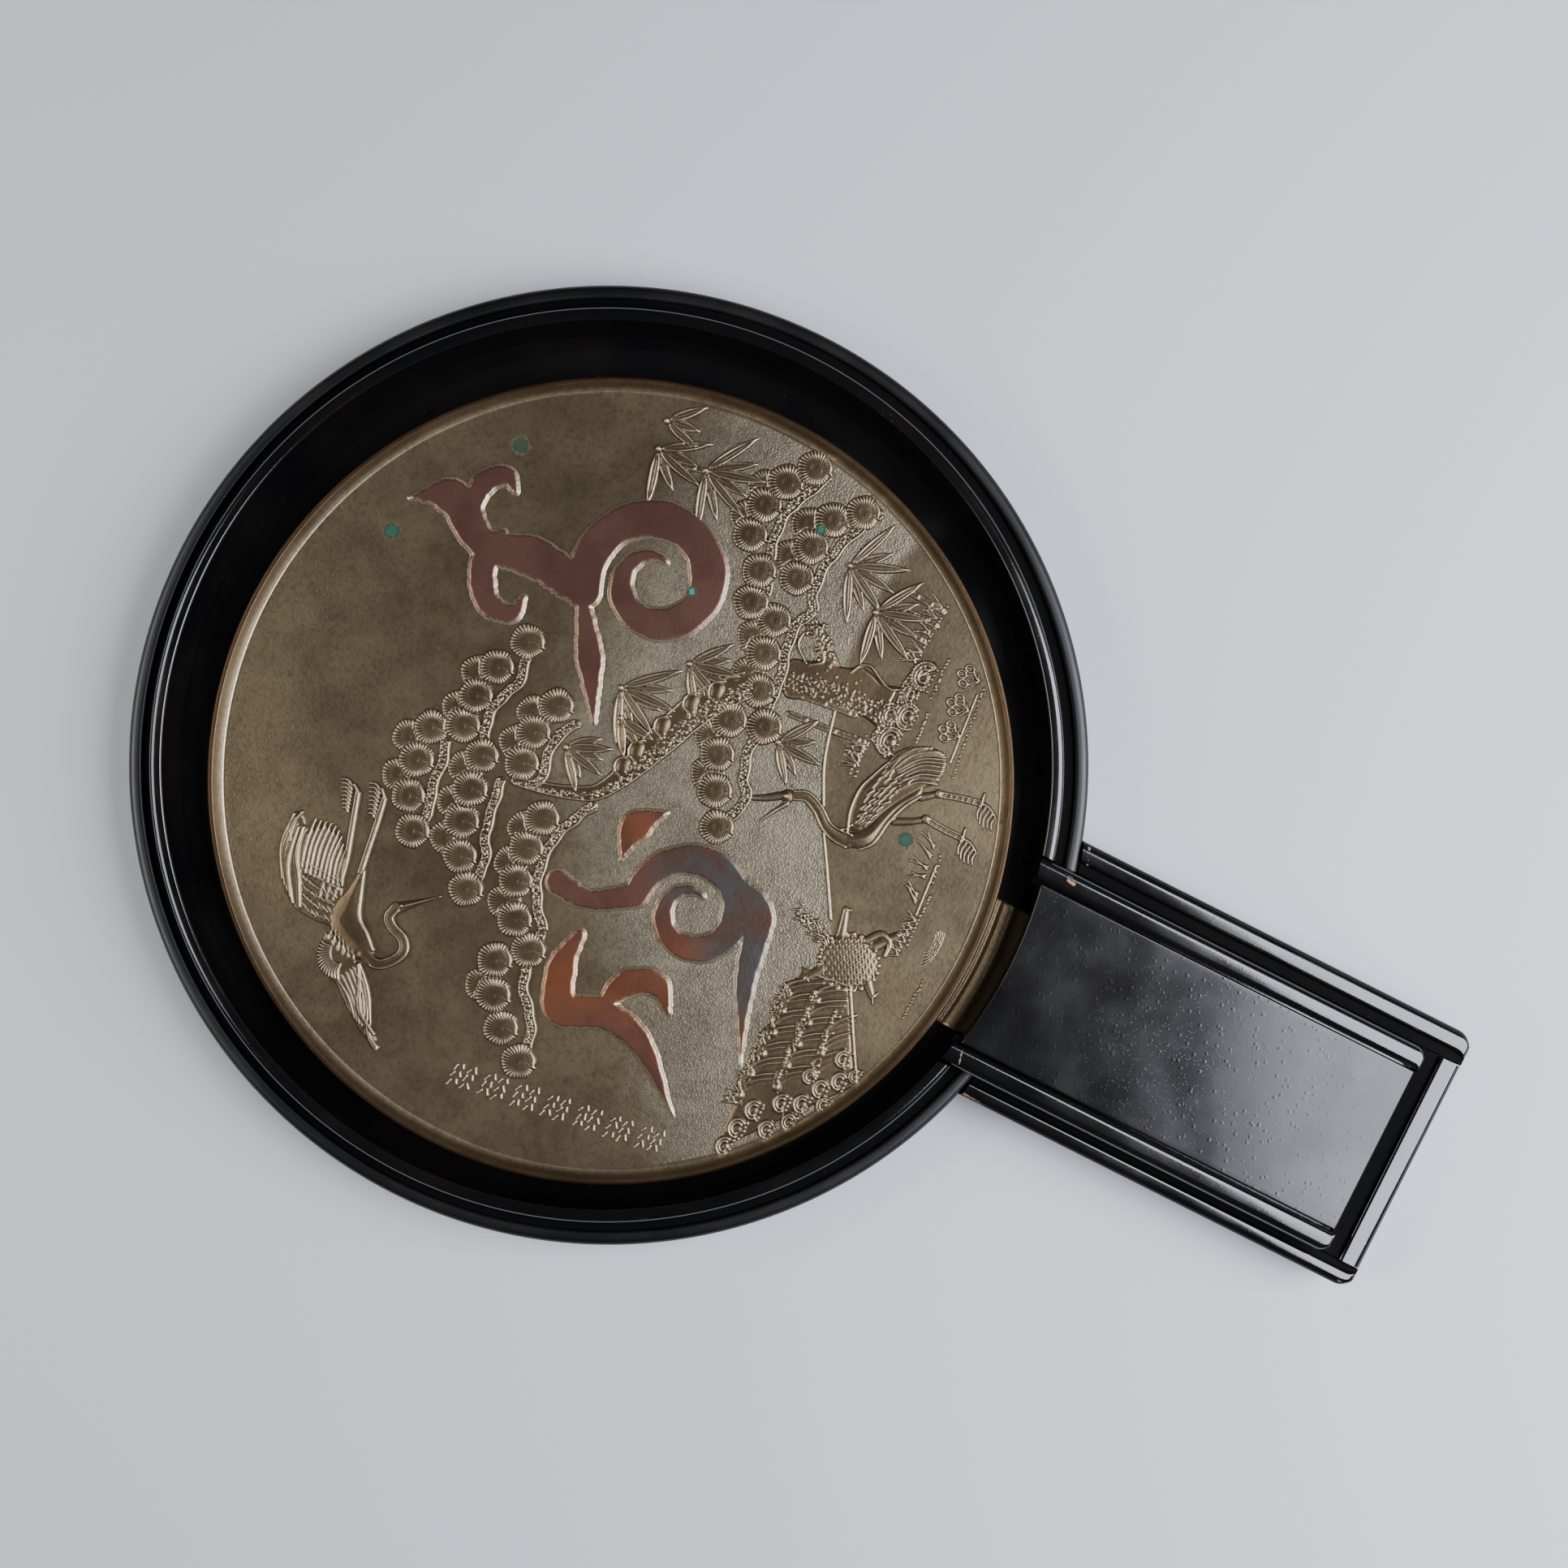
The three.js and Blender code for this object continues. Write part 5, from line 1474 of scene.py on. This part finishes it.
def tortoise():
    field = Field((-36, -110, 4, -60))
    u0, v0, ru, rv = -16.5, -87.2, 8.4, 9.0
    area, gu, gv = field.window((u0 - 9, v0 - 10), (u0 + 9, v0 + 10))
    d = ((gu - u0) / ru) ** 2 + ((gv - v0) / rv) ** 2
    field.raise_to(area, 1.15 * np.clip(1 - d, 0, 1) ** 0.45, 0.8)
    for k in range(-5, 6):
        for m in range(-5, 6):
            u = u0 + 1.75 * k + (0.87 if m % 2 else 0)
            v = v0 + 1.6 * m
            q = ((u - u0) / ru) ** 2 + ((v - v0) / rv) ** 2
            if q < 0.86:
                base = 1.15 * (1 - q) ** 0.45
                field.stroke(oval(u, v, 0.75, 0.7, 0, 2 * math.pi, 9), [0.42], base + 0.3)
    rim = oval(u0, v0, ru, rv, 0, 2 * math.pi, 48)
    for u, v in rim[::2]:
        field.dab(u, v, 0.85, 0.85)
    for k in range(46):
        t = rng.uniform(0, 1)
        base = curve([(-13.5, -79), (-12, -73), (-8, -66.5)], 12)[int(t * 11)]
        spot = base + rng.normal(0, 1.15, 2)
        weed = [spot, spot + (rng.uniform(-1.4, 1.6), rng.uniform(0.8, 2.2))]
        field.stroke(weed, [0.75, 0.4], rng.uniform(0.7, 1.15))
    feet = [
        ((-10, -81.5), (-3, -79.5)),
        ((-9, -92), (-3, -96.5)),
        ((-19.5, -95), (-22.5, -98)),
        ((-22, -81), (-26.5, -78)),
    ]
    for a, b in feet:
        field.stroke([a, b], [3.2, 2.2], 1.0, power=0.5)
        for k in range(4):
            end = np.array(b) + rng.normal(0, 0.9, 2)
            field.stroke([b, end + (0.4, -0.4)], [0.8, 0.4], 1.1)
    head = curve([(-8.5, -89), (-5, -92), (-6, -95.5), (-10, -96)], 14)
    field.stroke(head, [2.4, 2.6, 1.4], 1.2, power=0.5)
    bead_row(field, (-24, -109), (-12, -109.4), 12, 0.5)
    for k in range(5):
        arc = oval(-0.5, -106, (3 + k) * 1.1, 1.2 + 0.55 * k, 3.4, 5.9, 10)
        field.stroke(arc, [0.45], 0.45)
    relief_piece("relief_tortoise", field)


def plants():
    field = Field((-12, -112, 96, -46), 0.22)
    field.sweep([(-7.5, -76.7), (4, -69.8), (14.5, -63.3)], 16, [1.2, 1.0], 0.85)
    field.sweep([(21.7, -59.6), (34, -53.8), (48.3, -50)], 16, [1.1, 1.0], 0.8)
    rows = [
        ((34, -62.3), (48, -63.6), 13), ((72, -64.8), (91, -66), 16), ((51, -75.8), (60, -74.8), 9),
        ((65, -73.8), (77, -73.2), 11), ((46.5, -90.2), (74, -86.5), 22), ((-4, -100.4), (12, -100), 13),
        ((16, -99), (24, -97.5), 6), ((34, -64), (46, -61.5), 9),
    ]
    for a, b, count in rows:
        bead_row(field, a, b, count)
    for u in (37, 40, 43, 73, 76, 82, 87, 90):
        grass(field, u, -62.4 if u < 50 else -64.5, 4, 4.8, 30)
    for u, v, s in ((58, -83.8, 1.0), (66.2, -82.6, 1.1), (75.2, -81.6, 1.1)):
        for degrees in (28, 90, 152):
            a = math.radians(degrees)
            cu = u + 2.5 * s * math.cos(a)
            cv = v + 2.6 * s * math.sin(a)
            angles = np.linspace(0, 2 * math.pi, 12)
            ring = np.stack([cu + 1.1 * np.cos(angles), cv + 1.35 * np.sin(angles)], axis=1)
            field.stroke(ring, [0.55], 0.85)
            field.stroke([(u, v - 2.4), (cu, cv - 1.2)], [0.55], 0.7)
        grass(field, u, v - 2.6, 4, 2.6, 62)
    field.stroke([(50, -87.5), (71.7, -85.6)], [0.8], 0.6)
    field.stroke([(5, -98.8), (21, -97.6)], [0.9], 0.7)
    for u in np.arange(-8, 4, 2.2):
        grass(field, u, -99.2, 3, 3.4, 30)
    shoots = [
        (8, -97, 55), (10, -96.5, 62), (16, -96, 100),
        (18.5, -95.5, 88), (22, -95, 58), (25, -94.5, 54),
    ]
    for u, v, lean in shoots:
        for k in range(2):
            a = math.radians(lean + (14 if k else -8) + rng.normal(0, 4))
            reach = rng.uniform(4.5, 7.0)
            root = (u + k * 0.9, v)
            field.stroke([root, (root[0] + reach * math.cos(a), v + reach * math.sin(a))], [0.8, 0.4], 0.85)
    relief_piece("relief_plants", field)


# Broad flat cloud scrolls, in two groups

def spiral(u, v, outer, inner, start, turns, count):
    share = np.linspace(0, 1, count)
    angle = np.radians(start + 360 * turns * share)
    radius = outer + (inner - outer) * share
    return np.stack([u + radius * np.cos(angle), v + radius * np.sin(angle)], axis=1)


SCROLL_HEIGHT = 1.0
SCROLL_BEVEL = 0.8


def scroll_band(field, places, widths, count=60):
    """A flat-topped sweep; every sweep meets the others at one height."""
    line = curve(places, count) if len(places) < count else np.asarray(places)
    share = np.linspace(0, 1, len(line))
    half = np.interp(share, np.linspace(0, 1, len(widths)), widths) / 2
    half = half * (1 + 0.03 * np.sin(share * 37)) + 0.12 * np.sin(share * 91)
    for a, b, wa, wb in zip(line[:-1], line[1:], half[:-1], half[1:]):
        reach = max(wa, wb) + 0.6
        area, gu, gv = field.window(np.minimum(a, b) - reach, np.maximum(a, b) + reach)
        t, d = beside(gu, gv, a, b)
        w = wa + (wb - wa) * t
        field.raise_to(area, SCROLL_HEIGHT * np.clip((w - d) / SCROLL_BEVEL, 0, 1))


def scrolls():
    right = Field((8, -12, 88, 96), 0.34)
    scroll_band(right, [(48, 92), (54, 80), (46, 66), (49, 50), (46.6, 32.6)], [0.6, 12, 10, 13, 11])
    scroll_band(right, spiral(59, 15, 21.5, 6.5, 125, -1.35, 90), [11, 12, 12, 11, 9, 6, 2.4], 90)
    scroll_band(right, [(51, 62), (40, 63), (31, 57), (31, 49), (37, 48)], [4, 9, 8, 6, 2.4])
    scroll_band(right, [(52, 72), (61, 74), (67, 69), (64, 64)], [4, 8, 6.5, 2.4])
    scroll_band(right, [(46, 33), (30, 22.5), (13, 12.5)], [4, 9, 2])
    left = Field((-86, -78, 4, 6), 0.34)
    scroll_band(left, [(-34, 1), (-34.5, -10), (-27, -21.8)], [8, 6.5, 8])
    scroll_band(left, spiral(-24, -39, 17.5, 5.5, 100, -1.3, 80), [8, 10, 10, 9, 7, 5, 2.2], 80)
    scroll_band(left, [(-8.5, -46.5), (-16, -57), (-36, -62.5), (-59, -72.5)], [3, 10, 7, 0.6])
    sweep = [(-45, -12), (-56, -11.5), (-67, -17), (-63, -29), (-66, -43), (-81, -61.5)]
    scroll_band(left, sweep, [4, 9, 11, 10, 8, 0.6])
    scroll_band(left, [(-62, -27), (-52, -31), (-48, -39), (-54, -46)], [4, 9, 8, 2.4])
    scroll_band(left, [(-20, -13), (-9, -12.5), (-1, -19)], [1, 10, 1.4])
    for name, field in (("relief_scrolls_right", right), ("relief_scrolls_left", left)):
        # The bevelled sides, which the copper material paints with a highlight
        side = ((field.h > 0.0) & (field.h < SCROLL_HEIGHT * 0.9)).astype(float)
        relief_piece(name, field, copper, layers={"side": side})


COLUMN_TOP = (-98.6, 0.2)
COLUMN_FOOT = (-90.2, -58.0)


def stroke_column():
    """A column of seven groups of short shallow strokes that spell nothing."""
    field = Field((-108, -66, -82, 8))
    for u, v in curve([COLUMN_TOP, COLUMN_FOOT], 7):
        lean = -0.14
        for row in range(4):
            rise = 3.0 - 2.0 * row
            for k in range(3):
                along = (k - 1) * 2.5 + (0.5 if row % 2 else -0.3) + rng.normal(0, 0.15)
                place = np.array([u + along + lean * rise, v + rise + rng.normal(0, 0.15)])
                tilt = math.radians((24 if row % 2 else -18) + rng.normal(0, 5))
                half = rng.uniform(0.65, 1.0) * np.array([math.cos(tilt), math.sin(tilt)])
                field.stroke([place - half, place + half], [0.8, 0.55], 0.55)
    relief_piece("relief_stroke_column", field)


# Floor, lights and camera
FLOOR_HALF = 3.0
FLOOR_COLOUR = (0.50, 0.51, 0.52)
SENSOR_WIDTH = 36.0


def stage_floor():
    mesh = bpy.data.meshes.new("floor")
    half = FLOOR_HALF
    corners = [(-half, -half, 0), (half, -half, 0), (half, half, 0), (-half, half, 0)]
    mesh.from_pydata(corners, [], [(0, 1, 2, 3)])
    material, _, shader = node_material("pale floor")
    shader.inputs["Base Color"].default_value = (*FLOOR_COLOUR, 1)
    shader.inputs["Roughness"].default_value = 0.9
    mesh.materials.append(material)
    floor = bpy.data.objects.new("floor", mesh)
    bpy.context.scene.collection.objects.link(floor)


def softbox(name, near, far, middle, width, power, colour=(1, 1, 1)):
    """A panel that faces the case; near and far are (to the picture's right, height) in metres."""
    right = Vector((*RIGHT, 0))
    up = Vector((*UP, 0))
    base = Vector((*(CAMERA_XY * MM), 0))
    a = base + right * near[0] + up * middle + Vector((0, 0, near[1]))
    b = base + right * far[0] + up * middle + Vector((0, 0, far[1]))
    long_way = (b - a).normalized()
    facing = up.cross(long_way)
    if facing.z > 0:
        facing = -facing
    short_way = long_way.cross(-facing)
    data = bpy.data.lights.new(name, "AREA")
    data.shape = "RECTANGLE"
    data.size = width
    data.size_y = (b - a).length
    data.energy = power
    data.color = colour
    light = bpy.data.objects.new(name, data)
    turn = Matrix((short_way, long_way, -facing)).transposed().to_4x4()
    light.matrix_world = Matrix.Translation((a + b) / 2) @ turn
    bpy.context.scene.collection.objects.link(light)
    return light


def lights():
    world = bpy.data.worlds.new("studio")
    world.use_nodes = True
    back = world.node_tree.nodes["Background"]
    back.inputs["Color"].default_value = (0.80, 0.84, 0.90, 1)
    back.inputs["Strength"].default_value = 0.05
    bpy.context.scene.world = world
    softbox("right softbox", (0.35, 0.82), (1.05, 0.35), -0.125, 0.75, 27, (0.83, 0.89, 1.0))
    softbox("left softbox", (-0.56, 0.66), (-0.94, 0.38), 0.0, 0.6, 6, (0.95, 0.97, 1.0))
    fill = softbox("soft fill", (-0.35, 1.3), (0.35, 1.3), 0.0, 0.9, 1.5, (0.98, 0.99, 1.0))
    fill.visible_glossy = False


def camera():
    data = bpy.data.cameras.new("camera")
    data.sensor_width = SENSOR_WIDTH
    data.lens = SENSOR_WIDTH * CAMERA_RISE / (PIXEL * 2 * PICTURE_HALF)
    data.clip_start = 0.01
    data.clip_end = 20.0
    cam = bpy.data.objects.new("camera", data)
    cam.location = (CAMERA_XY[0] * MM, CAMERA_XY[1] * MM, (RIM_PLANE + CAMERA_RISE) * MM)
    cam.rotation_euler = (0, 0, math.atan2(RIGHT[1], RIGHT[0]))
    bpy.context.scene.collection.objects.link(cam)
    bpy.context.scene.camera = cam


ring_lining()
ring_wall()
rails()
side_walls()
end_wall()
end_shelf()
cover_board()
base_board()
mirror_body()
scrolls()
pines()
trunk()
bamboo()
flying_crane()
standing_crane()
shore()
tortoise()
plants()
stroke_column()
stage_floor()
lights()
camera()
